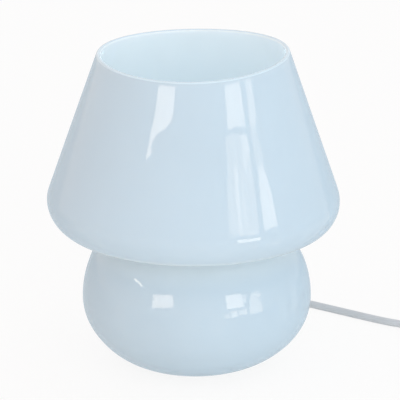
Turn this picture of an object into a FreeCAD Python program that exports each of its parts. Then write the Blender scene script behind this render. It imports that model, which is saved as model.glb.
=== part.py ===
"""Mushroom table lamp: a one-piece blown opal glass body with a lampholder in its neck.

Millimetres. +Z is up, the origin is on the table under the middle of the foot, and +Y points
to the back, where the cord leaves the glass.
"""
import FreeCAD, Part
import math
import os
import re
import Sketcher

doc = FreeCAD.newDocument("mushroom_table_lamp")

# ---------------------------------------------------------------- driving dimensions
SIZES = [
    # glass body
    ("wall", 3.0),
    ("lamp_height", 221.0),
    ("shade_radius", 100.0),
    ("shade_widest_height", 116.4),
    ("shade_edge_radius", 19.2),
    ("flank_lean", 19.1),
    ("heel_start", 50.7),
    ("heel_end", 73.9),
    ("heel_radius", 5.5),
    ("underside_radius", 40.0),
    ("neck_radius", 46.0),
    ("groove_radius", 4.0),
    ("base_radius", 78.8),
    ("base_widest_height", 46.5),
    ("base_upper_radius", 67.9),
    ("base_upper_turn", 39.7),
    ("base_shoulder_radius", 30.0),
    ("base_lower_radius", 38.5),
    ("base_lower_turn", 31.0),
    ("base_under_radius", 55.0),
    ("foot_bore", 33.0),
    ("foot_ring_height", 1.2),
    ("foot_ring_inset", 0.6),
    ("cord_hole_radius", 4.6),
    ("cord_hole_turn", 33.0),
    ("cord_hole_bearing", 15.0),
    # bracket, bar and nipple in the neck
    ("seat_clearance", 0.1),
    ("pad_thickness", 1.2),
    ("pad_overhang", 1.0),
    ("strap_thickness", 1.5),
    ("bracket_width", 20.0),
    ("bracket_depth", 18.0),
    ("bracket_leg_clearance", 2.0),
    ("bracket_tab_reach", 4.0),
    ("bar_width", 16.0),
    ("bar_half_length", 54.0),
    ("bar_tab_length", 9.0),
    ("bar_drop", 3.5),
    ("nipple_radius", 5.0),
    ("nipple_bore", 3.7),
    ("nipple_below", 10.64288),
    ("nipple_above", 9.5),
    ("nipple_clearance", 0.15),
    ("washer_radius", 10.0),
    ("washer_thickness", 1.0),
    ("nut_height", 3.0),
    ("nut_half_width", 7.0),
    ("grip_radius", 7.5),
    ("grip_length", 17.0),
    ("grip_thread_length", 6.0),
    ("grip_screw_radius", 1.6),
    ("grip_screw_rise", 4.8),
    # lampholder
    ("holder_radius", 13.5),
    ("holder_wall", 1.8),
    ("holder_foot_radius", 9.0),
    ("holder_cone_height", 8.0),
    ("holder_thread_length", 10.0),
    ("holder_cap_height", 20.0),
    ("holder_height", 46.5),
    ("insert_bottom", 17.0),
    ("insert_height", 10.0),
    ("insert_clearance", 0.2),
    ("shell_bore", 8.0),
    ("shell_mouth_radius", 9.3),
    ("shell_mouth_depth", 5.0),
    ("screw_shell_thickness", 0.45),
    ("cap_radius", 6.95),
    ("cap_clearance", 0.08),
    ("contact_thickness", 0.4),
    ("contact_width", 4.0),
    ("contact_rise", 0.9),
    ("contact_tail", 5.5),
    ("contact_bend", 2.6),
    ("contact_reach", 3.0),
    ("terminal_radius", 1.5),
    ("terminal_length", 6.0),
    ("terminal_offset", 6.5),
    ("terminal_drop", 2.0),
    # bulb
    ("bulb_gap", 0.1),
    ("bulb_contact_radius", 2.4),
    ("bulb_contact_height", 0.6),
    ("bulb_insulator_height", 2.6),
    ("bulb_insulator_radius", 2.88),
    ("bulb_cap_height", 15.8),
    ("bulb_flare_height", 5.0),
    ("bulb_flare_radius", 8.6),
    ("bulb_length", 72.0),
    ("bulb_radius", 22.5),
    ("bulb_neck_radius", 8.2),
    ("bulb_join_radius", 12.15),
    ("bulb_wall", 0.8),
    # cord
    ("cord_diameter", 5.2),
    ("core_radius", 1.0),
    ("core_spread", 1.15),
    ("core_bared", 4.0),
    ("floor_clearance", 0.1),
    ("grommet_flange_radius", 7.2),
    ("grommet_flange_height", 1.6),
    ("grommet_fit", 0.1),
    ("grommet_inner_gap", 0.6),
    ("relief_length", 22.0),
    ("relief_start_radius", 5.0),
    ("relief_end_radius", 3.5),
    # coil of put-away cord
    ("coil_mean_radius", 29.6),
    ("coil_turns", 7.5),
    ("coil_spacing", 5.8),
    ("tie_thickness", 0.6),
    ("tie_width", 9.0),
    ("tie_clearance", 0.1),
    # in-line switch
    ("switch_length", 62.0),
    ("switch_width", 25.0),
    ("switch_height", 17.0),
    ("switch_wall", 1.8),
    ("switch_parting", 7.0),
    ("rocker_length", 18.0),
    ("rocker_width", 12.0),
    ("rocker_clearance", 0.9),
    ("rocker_tilt", 7.0),
    ("rocker_pivot_height", 12.5),
    ("rocker_above_pivot", 6.2),
    ("rocker_below_pivot", 3.0),
    ("rocker_dish", 1.2),
    ("rocker_pin_radius", 1.25),
    ("rocker_pin_clearance", 0.06),
    ("rib_length", 6.0),
    ("rib_thickness", 2.0),
    ("switch_screw_radius", 1.5),
    ("switch_screw_offset", 15.0),
    ("switch_boss_radius", 3.0),
    ("boss_overlap", 0.6),
    ("screw_clearance", 0.1),
    ("screw_tip_depth", 2.5),
    ("screw_head_radius", 2.4),
    ("screw_head_clearance", 0.15),
    ("screw_head_recess", 2.0),
    ("screw_head_sink", 0.6),
    ("screw_slot", 0.7),
    ("clamp_length", 4.0),
    ("clamp_thickness", 1.6),
    ("clamp_end_gap", 2.4),
    ("clamp_post_radius", 1.8),
    ("clamp_post_gap", 0.8),
    ("contact_gap", 0.3),
    ("contact_row_offset", 4.0),
    ("fixed_contact_offset", 7.0),
    ("fixed_contact_length", 2.0),
    ("fixed_contact_width", 2.5),
    ("fixed_strip_thickness", 0.8),
    ("terminal_block", 4.0),
    ("terminal_block_offset", 13.0),
    ("terminal_screw_height", 1.4),
    ("terminal_slot", 0.6),
    ("bridge_offset", 6.0),
    ("bridge_length", 4.0),
    ("bridge_margin", 0.5),
    # plug
    ("plug_length", 35.0),
    ("plug_width", 26.0),
    ("plug_height", 13.7),
    ("plug_collar_length", 16.0),
    ("plug_collar_radius", 5.0),
    ("pin_radius", 2.0),
    ("pin_length", 19.0),
    ("pin_spacing", 18.6),
    ("pin_sleeve_length", 10.0),
    ("pin_sleeve_radius", 1.9),
    ("pin_core_radius", 1.55),
    ("pin_root", 6.0),
]

sheet = doc.addObject("Spreadsheet::Sheet", "Sizes")
for row, (alias, value) in enumerate(SIZES, start=1):
    sheet.set(f"A{row}", alias)
    sheet.set(f"B{row}", str(value))
    sheet.setAlias(f"B{row}", alias)
doc.recompute()
NAMES = {alias for alias, value in SIZES}


def size(alias):
    """A driving dimension as a number."""
    return float(sheet.get(alias))


def bound(text):
    """The expression with each driving dimension's name made into a reference to the sheet."""
    return re.sub(r"[a-z_]+", lambda word: "Sizes." + word[0] if word[0] in NAMES else word[0], text)


def number(text):
    """What an expression is worth now."""
    result = doc.Sizes.evalExpression(text)
    return float(getattr(result, "Value", result))


def plane_of(body, role):
    """One of a body's own origin planes."""
    return next(item for item in body.Origin.OriginFeatures if item.Role == role)


# ---------------------------------------------------------------- sketches and solids
def draw(body, role, corners):
    """A closed sketch. A corner is (x, y), and then for an arc to the next corner
    (radius, centre x, centre y, turn), where turn is +1 for anticlockwise."""
    sketch = body.newObject("Sketcher::SketchObject", body.Name + "_sketch")
    sketch.AttachmentSupport = (plane_of(body, role), [""])
    sketch.MapMode = "FlatFace"
    spots = [FreeCAD.Vector(number(c[0]), number(c[1]), 0) for c in corners]
    ends = []
    for index, corner in enumerate(corners):
        here = spots[index]
        there = spots[(index + 1) % len(corners)]
        if len(corner) == 2:
            edge = sketch.addGeometry(Part.LineSegment(here, there), False)
            ends.append((edge, 1, 2))
            continue
        radius, centre_x, centre_y, turn = corner[2:]
        centre = FreeCAD.Vector(number(centre_x), number(centre_y), 0)
        first, last = (here, there) if turn > 0 else (there, here)
        start = math.atan2(first.y - centre.y, first.x - centre.x)
        stop = math.atan2(last.y - centre.y, last.x - centre.x)
        if stop < start:
            stop += 2 * math.pi
        circle = Part.Circle(centre, FreeCAD.Vector(0, 0, 1), number(radius))
        edge = sketch.addGeometry(Part.ArcOfCircle(circle, start, stop), False)
        ends.append((edge, 1, 2) if turn > 0 else (edge, 2, 1))
    for index, corner in enumerate(corners):
        edge, near, far = ends[index]
        after = ends[(index + 1) % len(ends)]
        sketch.addConstraint(Sketcher.Constraint("Coincident", edge, far, after[0], after[1]))
        for kind, axis, text in (("DistanceX", -2, corner[0]), ("DistanceY", -1, corner[1])):
            if text == "0":
                sketch.addConstraint(Sketcher.Constraint("PointOnObject", edge, near, axis))
                continue
            rule = sketch.addConstraint(Sketcher.Constraint(kind, -1, 1, edge, near, number(text)))
            sketch.setExpression(f"Constraints[{rule}]", bound(text))
        if len(corner) > 2:
            rule = sketch.addConstraint(Sketcher.Constraint("Radius", edge, number(corner[2])))
            sketch.setExpression(f"Constraints[{rule}]", bound(corner[2]))
    sketch.Visibility = False
    return sketch


def turned(name, corners):
    """A body of revolution about its own Z axis, from a closed outline of (radius, height) corners."""
    body = doc.addObject("PartDesign::Body", name)
    sketch = draw(body, "XZ_Plane", corners)
    spun = body.newObject("PartDesign::Revolution", name + "_spun")
    spun.Profile = sketch
    spun.ReferenceAxis = (sketch, ["V_Axis"])
    spun.Angle = 360
    body.Tip = spun
    return body


def padded(name, role, corners, length, both_ways=False):
    """A body padded from a closed outline on one of its origin planes."""
    body = doc.addObject("PartDesign::Body", name)
    pad = body.newObject("PartDesign::Pad", name + "_pad")
    pad.Profile = draw(body, role, corners)
    pad.setExpression("Length", bound(length))
    if both_ways:
        pad.SideType = "Symmetric"
    body.Tip = pad
    return body


def rod(name, radius, length, along="Z"):
    """A plain cylinder from its own origin, along one of the axes."""
    solid = doc.addObject("Part::Cylinder", name)
    solid.setExpression("Radius", bound(radius))
    solid.setExpression("Height", bound(length))
    axis, angle = {"Z": ((1, 0, 0), 0), "X": ((0, 1, 0), 90), "Y": ((1, 0, 0), -90)}[along]
    solid.Placement = FreeCAD.Placement(
        FreeCAD.Vector(0, 0, 0), FreeCAD.Rotation(FreeCAD.Vector(*axis), angle)
    )
    return solid


def block(name, length, width, height, x="0", y="0", z="0"):
    """A box whose lower face is centred on a point."""
    solid = doc.addObject("Part::Box", name)
    solid.setExpression("Length", bound(length))
    solid.setExpression("Width", bound(width))
    solid.setExpression("Height", bound(height))
    return move(solid, f"({x}) - ({length}) / 2", f"({y}) - ({width}) / 2", z)


def move(solid, x, y, z):
    """Binds where a solid stands."""
    for axis, text in (("x", x), ("y", y), ("z", z)):
        solid.setExpression("Placement.Base." + axis, bound(text))
    return solid


def cut(name, solid, *tools):
    """One solid less the others."""
    tool = tools[0]
    if len(tools) > 1:
        tool = doc.addObject("Part::MultiFuse", name + "_tools")
        tool.Shapes = list(tools)
    result = doc.addObject("Part::Cut", name)
    result.Base = solid
    result.Tool = tool
    return result


def fused(name, *solids):
    """Several solids as one."""
    result = doc.addObject("Part::MultiFuse", name)
    result.Shapes = list(solids)
    return result


def group(name, *solids):
    """Several separate solids in one node."""
    result = doc.addObject("Part::Compound", name)
    result.Links = list(solids)
    return result


PIECES = []


def piece(label, solid, placement=None):
    """Names a finished piece, and puts it where its own frame stands."""
    solid.Label = label
    if placement is not None:
        solid.Placement = placement.multiply(solid.Placement)
    PIECES.append(solid)
    return solid


# ---------------------------------------------------------------- the glass outline
# Centres of the arcs of the outer outline. The inner outline has the same centres, a wall less.
LOWER_X = "(base_radius - base_lower_radius)"
LOWER_Z = "base_widest_height"
UNDER_X = f"({LOWER_X} - (base_under_radius - base_lower_radius) * cos(base_lower_turn))"
UNDER_Z = f"({LOWER_Z} + (base_under_radius - base_lower_radius) * sin(base_lower_turn))"
UPPER_X = "(base_radius - base_upper_radius)"
UPPER_Z = "base_widest_height"
SHOULDER_X = f"({UPPER_X} + (base_upper_radius - base_shoulder_radius) * cos(base_upper_turn))"
SHOULDER_Z = f"({UPPER_Z} + (base_upper_radius - base_shoulder_radius) * sin(base_upper_turn))"
GROOVE_X = "(neck_radius + groove_radius)"
GROOVE_Z = (
    f"({SHOULDER_Z} + sqrt((base_shoulder_radius + groove_radius)^2 - ({GROOVE_X} - {SHOULDER_X})^2))"
)
EDGE_X = "(shade_radius - shade_edge_radius)"
EDGE_Z = "shade_widest_height"
HEEL_X = f"({EDGE_X} + (shade_edge_radius - heel_radius) * cos(heel_start))"
HEEL_Z = f"({EDGE_Z} - (shade_edge_radius - heel_radius) * sin(heel_start))"
BELLY_X = f"({HEEL_X} - (underside_radius - heel_radius) * cos(heel_end))"
BELLY_Z = f"({HEEL_Z} + (underside_radius - heel_radius) * sin(heel_end))"
RUN_X = f"({BELLY_X} - {GROOVE_X})"
RUN_Z = f"({BELLY_Z} - {GROOVE_Z})"
UNDERSIDE_RISE = (
    f"(asin((underside_radius + groove_radius) / sqrt({RUN_X}^2 + {RUN_Z}^2)) - atan({RUN_Z} / {RUN_X}))"
)
LIP_Z = "(lamp_height - wall / 2)"
LIP_X = (
    f"({EDGE_X} + (shade_edge_radius - wall / 2) / cos(flank_lean)"
    f" - ({LIP_Z} - {EDGE_Z}) * tan(flank_lean))"
)
RIM_TOP = f"({GROOVE_Z} + groove_radius + wall)"


def on_arc(centre_x, centre_z, radius, angle, first="+", second="+"):
    """The point of an arc at an angle from the horizontal, as two expressions."""
    return (
        f"{centre_x} {first} ({radius}) * cos({angle})",
        f"{centre_z} {second} ({radius}) * sin({angle})",
    )


def glass_side(skin):
    """The outline's corners from the foot up to the lip, a skin's depth inside the outer face."""
    radii = {
        "under": f"base_under_radius - {skin}",
        "lower": f"base_lower_radius - {skin}",
        "upper": f"base_upper_radius - {skin}",
        "shoulder": f"base_shoulder_radius - {skin}",
        "groove": f"groove_radius + {skin}",
        "belly": f"underside_radius - {skin}",
        "heel": f"heel_radius - {skin}",
        "edge": f"shade_edge_radius - {skin}",
    }
    share = f"({radii['shoulder']}) / (base_shoulder_radius + groove_radius)"
    corners = [
        on_arc(UNDER_X, UNDER_Z, radii["under"], "base_lower_turn", "+", "-")
        + (radii["lower"], LOWER_X, LOWER_Z, 1),
        (f"base_radius - {skin}", "base_widest_height", radii["upper"], UPPER_X, UPPER_Z, 1),
        on_arc(UPPER_X, UPPER_Z, radii["upper"], "base_upper_turn")
        + (radii["shoulder"], SHOULDER_X, SHOULDER_Z, 1),
        (
            f"{SHOULDER_X} + ({GROOVE_X} - {SHOULDER_X}) * {share}",
            f"{SHOULDER_Z} + ({GROOVE_Z} - {SHOULDER_Z}) * {share}",
            radii["groove"],
            GROOVE_X,
            GROOVE_Z,
            -1,
        ),
        (f"neck_radius - {skin}", GROOVE_Z, radii["groove"], GROOVE_X, GROOVE_Z, -1),
        (
            f"{GROOVE_X} + ({radii['groove']}) * sin({UNDERSIDE_RISE})",
            f"{GROOVE_Z} + ({radii['groove']}) * cos({UNDERSIDE_RISE})",
        ),
        (
            f"{BELLY_X} - ({radii['belly']}) * sin({UNDERSIDE_RISE})",
            f"{BELLY_Z} - ({radii['belly']}) * cos({UNDERSIDE_RISE})",
            radii["belly"],
            BELLY_X,
            BELLY_Z,
            1,
        ),
        on_arc(BELLY_X, BELLY_Z, radii["belly"], "heel_end", "+", "-")
        + (radii["heel"], HEEL_X, HEEL_Z, 1),
        on_arc(HEEL_X, HEEL_Z, radii["heel"], "heel_start", "+", "-")
        + (radii["edge"], EDGE_X, EDGE_Z, 1),
        on_arc(EDGE_X, EDGE_Z, radii["edge"], "flank_lean"),
    ]
    return corners


def backwards(corners):
    """The same corners in the other order, each arc turned round with them."""
    result = []
    for index in range(len(corners) - 1, -1, -1):
        arc = corners[index - 1][2:] if index else ()
        if arc:
            arc = arc[:3] + (-arc[3],)
        result.append(tuple(corners[index][:2]) + tuple(arc))
    return result


outer_side = glass_side("0")
inner_side = glass_side("wall")
LIP = ("wall / 2", LIP_X, LIP_Z, 1)
FOOT_X = f"{UNDER_X} + sqrt(base_under_radius^2 - ({UNDER_Z} - foot_ring_height)^2)"
foot_outside = (FOOT_X, "foot_ring_height", "base_under_radius", UNDER_X, UNDER_Z, 1)
foot_inside = (
    "foot_bore",
    f"{UNDER_Z} - sqrt((base_under_radius - wall)^2 - (foot_bore - {UNDER_X})^2)",
)
inner_run = backwards(inner_side)
inner_run[-1] += ("base_under_radius - wall", UNDER_X, UNDER_Z, -1)
glass_corners = (
    [foot_outside]
    + outer_side
    + [
        on_arc(LIP_X, LIP_Z, "wall / 2", "flank_lean") + LIP,
        (f"{LIP_X} - wall / 2 * sin(flank_lean)", f"{LIP_Z} + wall / 2 * cos(flank_lean)") + LIP,
        on_arc(LIP_X, LIP_Z, "wall / 2", "flank_lean", "-", "-"),
    ]
    + inner_run
    + [foot_inside, ("foot_bore", "foot_ring_height")]
)
glass_blank = turned("glass_blank", glass_corners)

# ---------------------------------------------------------------- glass body and foot
def frame_at(x, y, z, bearing, tilt=0):
    """A placement turned about Z by a bearing, its own Z axis first tilted towards its X axis."""
    turn = FreeCAD.Rotation(FreeCAD.Vector(0, 0, 1), bearing)
    lean = FreeCAD.Rotation(FreeCAD.Vector(0, 1, 0), tilt)
    return FreeCAD.Placement(FreeCAD.Vector(x, y, z), turn.multiply(lean))


if size("cord_hole_turn") > size("base_lower_turn"):
    HOLE_R, HOLE_Z = on_arc(UNDER_X, UNDER_Z, "base_under_radius", "cord_hole_turn", "+", "-")
else:
    HOLE_R, HOLE_Z = on_arc(LOWER_X, LOWER_Z, "base_lower_radius", "cord_hole_turn", "+", "-")
# the cord leaves at the back; this frame stands on the glass there, its Z axis pointing out
hole_bearing = 90 + size("cord_hole_bearing")
outwards = FreeCAD.Vector(math.cos(math.radians(hole_bearing)), math.sin(math.radians(hole_bearing)), 0)
hole_spot = outwards * number(HOLE_R) + FreeCAD.Vector(0, 0, number(HOLE_Z))
hole_frame = frame_at(*hole_spot, hole_bearing, 90 + size("cord_hole_turn"))

cord_hole = rod("cord_hole", "cord_hole_radius", "wall * 6")
cord_hole.Placement = hole_frame.multiply(frame_at(0, 0, -3 * size("wall"), 0))
piece("glass_body", cut("glass", glass_blank, cord_hole))

ring_inside = "foot_bore + foot_ring_inset"
ring_outside = f"{FOOT_X} - foot_ring_inset"
ring_corners = [
    (ring_inside, "0"),
    (ring_outside, "0"),
    (ring_outside, "foot_ring_height"),
    (ring_inside, "foot_ring_height"),
]
piece("foot_ring", turned("ring", ring_corners))

# ---------------------------------------------------------------- bracket, bar and nipple
PAD_UNDER = f"({RIM_TOP} + seat_clearance)"
TAB_UNDER = f"({PAD_UNDER} + pad_thickness)"
SEAT = f"({TAB_UNDER} - bracket_depth)"
BAR_CORNER = "sqrt(bar_half_length^2 + (bar_width / 2)^2)"
BAR_PAD_TOP = (
    f"({SHOULDER_Z} + sqrt((base_shoulder_radius - wall)^2 - ({BAR_CORNER} - {SHOULDER_X})^2)"
    " - seat_clearance)"
)
BAR_PAD_UNDER = f"({BAR_PAD_TOP} - pad_thickness)"
BAR_TOP = f"({BAR_PAD_UNDER} - bar_drop)"
BAR_UNDER = f"({BAR_TOP} - strap_thickness)"
LEG = "(neck_radius - wall - bracket_leg_clearance)"


def strap(name, role, reach, leg, under, depth, width):
    """A flat strap bent into a wide U, with a flat tab turned out at each end."""
    inside = f"({leg} - strap_thickness)"
    top = f"({under} + strap_thickness)"
    floor = f"({under} - {depth})"
    right = [
        (leg, f"{floor} - strap_thickness"),
        (leg, under),
        (reach, under),
        (reach, top),
        (inside, top),
        (inside, floor),
    ]
    left = [(f"-{x}", z) for x, z in reversed(right)]
    body = padded(name, role, right + left, width, both_ways=True)
    hole = rod(name + "_hole", "nipple_radius + nipple_clearance", "strap_thickness * 3")
    return cut(name + "_drilled", body, move(hole, "0", "0", f"{floor} - 2 * strap_thickness"))


def nut(name, z):
    """A six-sided nut on the nipple."""
    solid = doc.addObject("Part::Prism", name)
    solid.Polygon = 6
    solid.setExpression("Circumradius", bound("nut_half_width / cos(30)"))
    solid.setExpression("Height", bound("nut_height"))
    thread = rod(name + "_thread", "nipple_radius", "nut_height * 3")
    return cut(name + "_tapped", move(solid, "0", "0", z), move(thread, "0", "0", f"{z} - nut_height"))


def pair(name, length, width, height, x, y, z):
    """Two equal blocks, one each side of the middle."""
    right = block(name + "_right", length, width, height, x, y, z)
    left = block(name + "_left", length, width, height, f"-({x})", f"-({y})", z)
    return group(name, right, left)


bracket_reach = f"({GROOVE_X} + bracket_tab_reach)"
bracket = strap("bracket", "XZ_Plane", bracket_reach, LEG, TAB_UNDER, "bracket_depth", "bracket_width")
piece("holder_bracket", bracket)
pad_length = "2 * (bracket_tab_reach + pad_overhang)"
pads = pair("pads", pad_length, "bracket_width", "pad_thickness", GROOVE_X, "0", PAD_UNDER)
piece("bracket_pads", pads)

bar_leg = "(bar_half_length - bar_tab_length)"
bar_under_tab = f"({BAR_PAD_UNDER} - strap_thickness)"
bar = strap(
    "bar",
    "YZ_Plane",
    "bar_half_length",
    bar_leg,
    bar_under_tab,
    "(bar_drop - strap_thickness)",
    "bar_width",
)
piece("clamp_bar", bar)
bar_pad_middle = "bar_half_length - bar_tab_length / 2"
end_pads = pair(
    "end_pads", "bar_width", "bar_tab_length", "pad_thickness", "0", bar_pad_middle, BAR_PAD_UNDER
)
piece("bar_pads", end_pads)

NIPPLE_END = f"({BAR_UNDER} - nipple_below)"


def ring(name, inner, outer, bottom, top):
    """A plain turned ring."""
    return turned(name, [(inner, bottom), (outer, bottom), (outer, top), (inner, top)])


nipple = ring("nipple_tube", "nipple_bore", "nipple_radius", NIPPLE_END, f"{SEAT} + nipple_above")
piece("nipple", nipple)
upper_nut = nut("upper_nut", f"({SEAT} - strap_thickness - nut_height)")
lower_nut = nut("lower_nut", f"({BAR_UNDER} - washer_thickness - nut_height)")
piece("nipple_nuts", group("nuts", upper_nut, lower_nut))
washer = ring("washer", "nipple_radius", "washer_radius", f"{BAR_UNDER} - washer_thickness", BAR_UNDER)
piece("bar_washer", washer)

# ---------------------------------------------------------------- cord grip under the nipple
GRIP_TOP = f"({NIPPLE_END} + grip_thread_length)"
GRIP_BOTTOM = f"({GRIP_TOP} - grip_length)"
CORD_PASSAGE = "cord_diameter / 2 + grommet_fit"
grip_body = turned(
    "grip_body",
    [
        (CORD_PASSAGE, GRIP_BOTTOM),
        ("grip_radius", GRIP_BOTTOM),
        ("grip_radius", GRIP_TOP),
        ("nipple_radius", GRIP_TOP),
        ("nipple_radius", NIPPLE_END),
        (CORD_PASSAGE, NIPPLE_END),
    ],
)
grip_screw_height = f"{GRIP_BOTTOM} + grip_screw_rise"
screw_start = "cord_diameter / 2 + grommet_fit / 2"
tapping = rod("grip_tapping", "grip_screw_radius", "grip_radius", "X")
piece("cord_grip", cut("grip_tapped", grip_body, move(tapping, screw_start, "0", grip_screw_height)))
grip_screw = rod("grip_screw", "grip_screw_radius", "grip_radius", "X")
piece("cord_grip_screw", move(grip_screw, screw_start, "0", grip_screw_height))

# ---------------------------------------------------------------- lampholder
def above_seat(text):
    """A height measured from the face the lampholder stands on."""
    return f"({SEAT} + {text})"


def raised(corners, base):
    """Turned corners with their heights measured from a base."""
    return [(x, f"({base} + {z})") for x, z in corners]


HOLLOW = "holder_radius - holder_wall"
cap_corners = [
    ("nipple_radius", "0"),
    ("holder_foot_radius", "0"),
    ("holder_radius", "holder_cone_height"),
    ("holder_radius", "holder_cap_height"),
    (HOLLOW, "holder_cap_height"),
    (HOLLOW, "holder_thread_length"),
    ("nipple_radius", "holder_thread_length"),
]
piece("holder_cap", turned("holder_base", raised(cap_corners, SEAT)))

INSERT_BOTTOM = above_seat("insert_bottom")
INSERT_TOP = above_seat("insert_bottom + insert_height")
insert_blank = rod("insert_blank", "holder_radius - holder_wall - insert_clearance", "insert_height")
move(insert_blank, "0", "0", INSERT_BOTTOM)
TERMINAL_BOTTOM = f"({INSERT_BOTTOM} - terminal_drop)"


def posts(name):
    """The two terminal posts."""
    left = rod(name + "_left", "terminal_radius", "terminal_length")
    right = rod(name + "_right", "terminal_radius", "terminal_length")
    move(left, "-terminal_offset", "0", TERMINAL_BOTTOM)
    move(right, "terminal_offset", "0", TERMINAL_BOTTOM)
    return left, right


piece("holder_insert", cut("insert", insert_blank, *posts("insert_hole")))
piece("holder_terminals", group("terminals", *posts("terminal")))

shell_corners = [
    (HOLLOW, "holder_cap_height"),
    ("holder_radius", "holder_cap_height"),
    ("holder_radius", "holder_height"),
    ("shell_mouth_radius", "holder_height"),
    ("shell_mouth_radius", "holder_height - shell_mouth_depth"),
    ("shell_bore", "holder_height - shell_mouth_depth"),
    ("shell_bore", "insert_bottom + insert_height + insert_clearance"),
    (HOLLOW, "insert_bottom + insert_height + insert_clearance"),
]
piece("holder_shell", turned("holder_sleeve", raised(shell_corners, SEAT)))

screw_inside = "cap_radius + cap_clearance"
screw_outside = f"{screw_inside} + screw_shell_thickness"
screw_top = above_seat("holder_height - shell_mouth_depth")
screw_shell = ring("screw_shell", screw_inside, screw_outside, INSERT_TOP, screw_top)
piece("holder_screw_shell", screw_shell)

contact_corners = [
    ("-contact_tail", "0"),
    ("-contact_bend", "0"),
    ("-contact_bend", "contact_rise"),
    ("contact_reach", "contact_rise"),
    ("contact_reach", "contact_rise + contact_thickness"),
    ("-contact_bend - contact_thickness", "contact_rise + contact_thickness"),
    ("-contact_bend - contact_thickness", "contact_thickness"),
    ("-contact_tail", "contact_thickness"),
]
contact = padded(
    "contact_strip", "XZ_Plane", raised(contact_corners, INSERT_TOP), "contact_width", both_ways=True
)
piece("holder_centre_contact", contact)

# ---------------------------------------------------------------- bulb
TIP = f"({INSERT_TOP} + contact_rise + contact_thickness + bulb_gap)"
CAP_BOTTOM = f"({TIP} + bulb_contact_height + bulb_insulator_height)"
CAP_TOP = f"({CAP_BOTTOM} + bulb_cap_height)"
NECK_BOTTOM = f"({CAP_TOP} + bulb_flare_height / 2)"
FLARE_TOP = f"({CAP_TOP} + bulb_flare_height)"
GLOBE_Z = f"({TIP} + bulb_length - bulb_radius)"

tip_contact = rod("tip_contact", "bulb_contact_radius", "bulb_contact_height")
piece("bulb_contact", move(tip_contact, "0", "0", TIP))
insulator_bottom = f"{TIP} + bulb_contact_height"
insulator = turned(
    "insulator",
    [
        ("0", insulator_bottom),
        ("bulb_insulator_radius", insulator_bottom),
        ("cap_radius - bulb_wall", CAP_BOTTOM),
        ("0", CAP_BOTTOM),
    ],
)
piece("bulb_insulator", insulator)
cap_wall = "(bulb_flare_radius - bulb_neck_radius)"
bulb_cap = turned(
    "bulb_sleeve",
    [
        ("bulb_contact_radius", CAP_BOTTOM),
        ("cap_radius", CAP_BOTTOM),
        ("cap_radius", CAP_TOP),
        ("bulb_flare_radius", NECK_BOTTOM),
        ("bulb_flare_radius", FLARE_TOP),
        ("bulb_neck_radius", FLARE_TOP),
        ("bulb_neck_radius", NECK_BOTTOM),
        (f"cap_radius - {cap_wall}", CAP_TOP),
        (f"cap_radius - {cap_wall}", f"{CAP_BOTTOM} + {cap_wall}"),
        ("bulb_contact_radius", f"{CAP_BOTTOM} + {cap_wall}"),
    ],
)
piece("bulb_cap", bulb_cap)
JOIN_Z = f"({GLOBE_Z} - sqrt(bulb_radius^2 - bulb_join_radius^2))"
INNER_SHARE = "((bulb_radius - bulb_wall) / bulb_radius)"
envelope = turned(
    "envelope",
    [
        ("bulb_neck_radius - bulb_wall", NECK_BOTTOM),
        ("bulb_neck_radius", NECK_BOTTOM),
        ("bulb_neck_radius", FLARE_TOP),
        ("bulb_join_radius", JOIN_Z, "bulb_radius", "0", GLOBE_Z, 1),
        ("0", f"{GLOBE_Z} + bulb_radius"),
        ("0", f"{GLOBE_Z} + bulb_radius - bulb_wall", "bulb_radius - bulb_wall", "0", GLOBE_Z, -1),
        (f"bulb_join_radius * {INNER_SHARE}", f"{GLOBE_Z} - ({GLOBE_Z} - {JOIN_Z}) * {INNER_SHARE}"),
        ("bulb_neck_radius - bulb_wall", FLARE_TOP),
    ],
)
piece("bulb_envelope", envelope)

# ---------------------------------------------------------------- grommet and strain relief
INNER_FLANGE = "-(wall + grommet_inner_gap)"
grommet = turned(
    "grommet",
    [
        (CORD_PASSAGE, f"{INNER_FLANGE} - grommet_flange_height"),
        ("grommet_flange_radius", f"{INNER_FLANGE} - grommet_flange_height"),
        ("grommet_flange_radius", INNER_FLANGE),
        ("cord_hole_radius - grommet_fit", INNER_FLANGE),
        ("cord_hole_radius - grommet_fit", "0"),
        ("grommet_flange_radius", "0"),
        ("grommet_flange_radius", "grommet_flange_height"),
        (CORD_PASSAGE, "grommet_flange_height"),
    ],
)
piece("wall_grommet", grommet, hole_frame)
relief_top = "grommet_flange_height + relief_length"
relief = turned(
    "relief",
    [
        (CORD_PASSAGE, "grommet_flange_height"),
        ("relief_start_radius", "grommet_flange_height"),
        ("relief_end_radius", relief_top),
        (CORD_PASSAGE, relief_top),
    ],
)
piece("strain_relief", relief, hole_frame)

# ---------------------------------------------------------------- tubes
def unit(vector):
    """A vector of length one."""
    return vector * (1 / vector.Length)


def pipe(label, edges, start, heading, radius):
    """A round tube along a chain of edges, checked against its section times its length."""
    path = Part.Wire(edges)
    section = Part.Wire(Part.makeCircle(radius, start, heading))
    shape = path.makePipeShell([section], True, False)
    share = shape.Volume / (math.pi * radius**2 * path.Length)
    print(f"{label}: {path.Length:.1f} long, volume {share:.5f} of section times length")
    feature = doc.addObject("Part::Feature", label + "_form")
    feature.Shape = shape
    return feature


BEND_SHARE = 0.45


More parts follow.
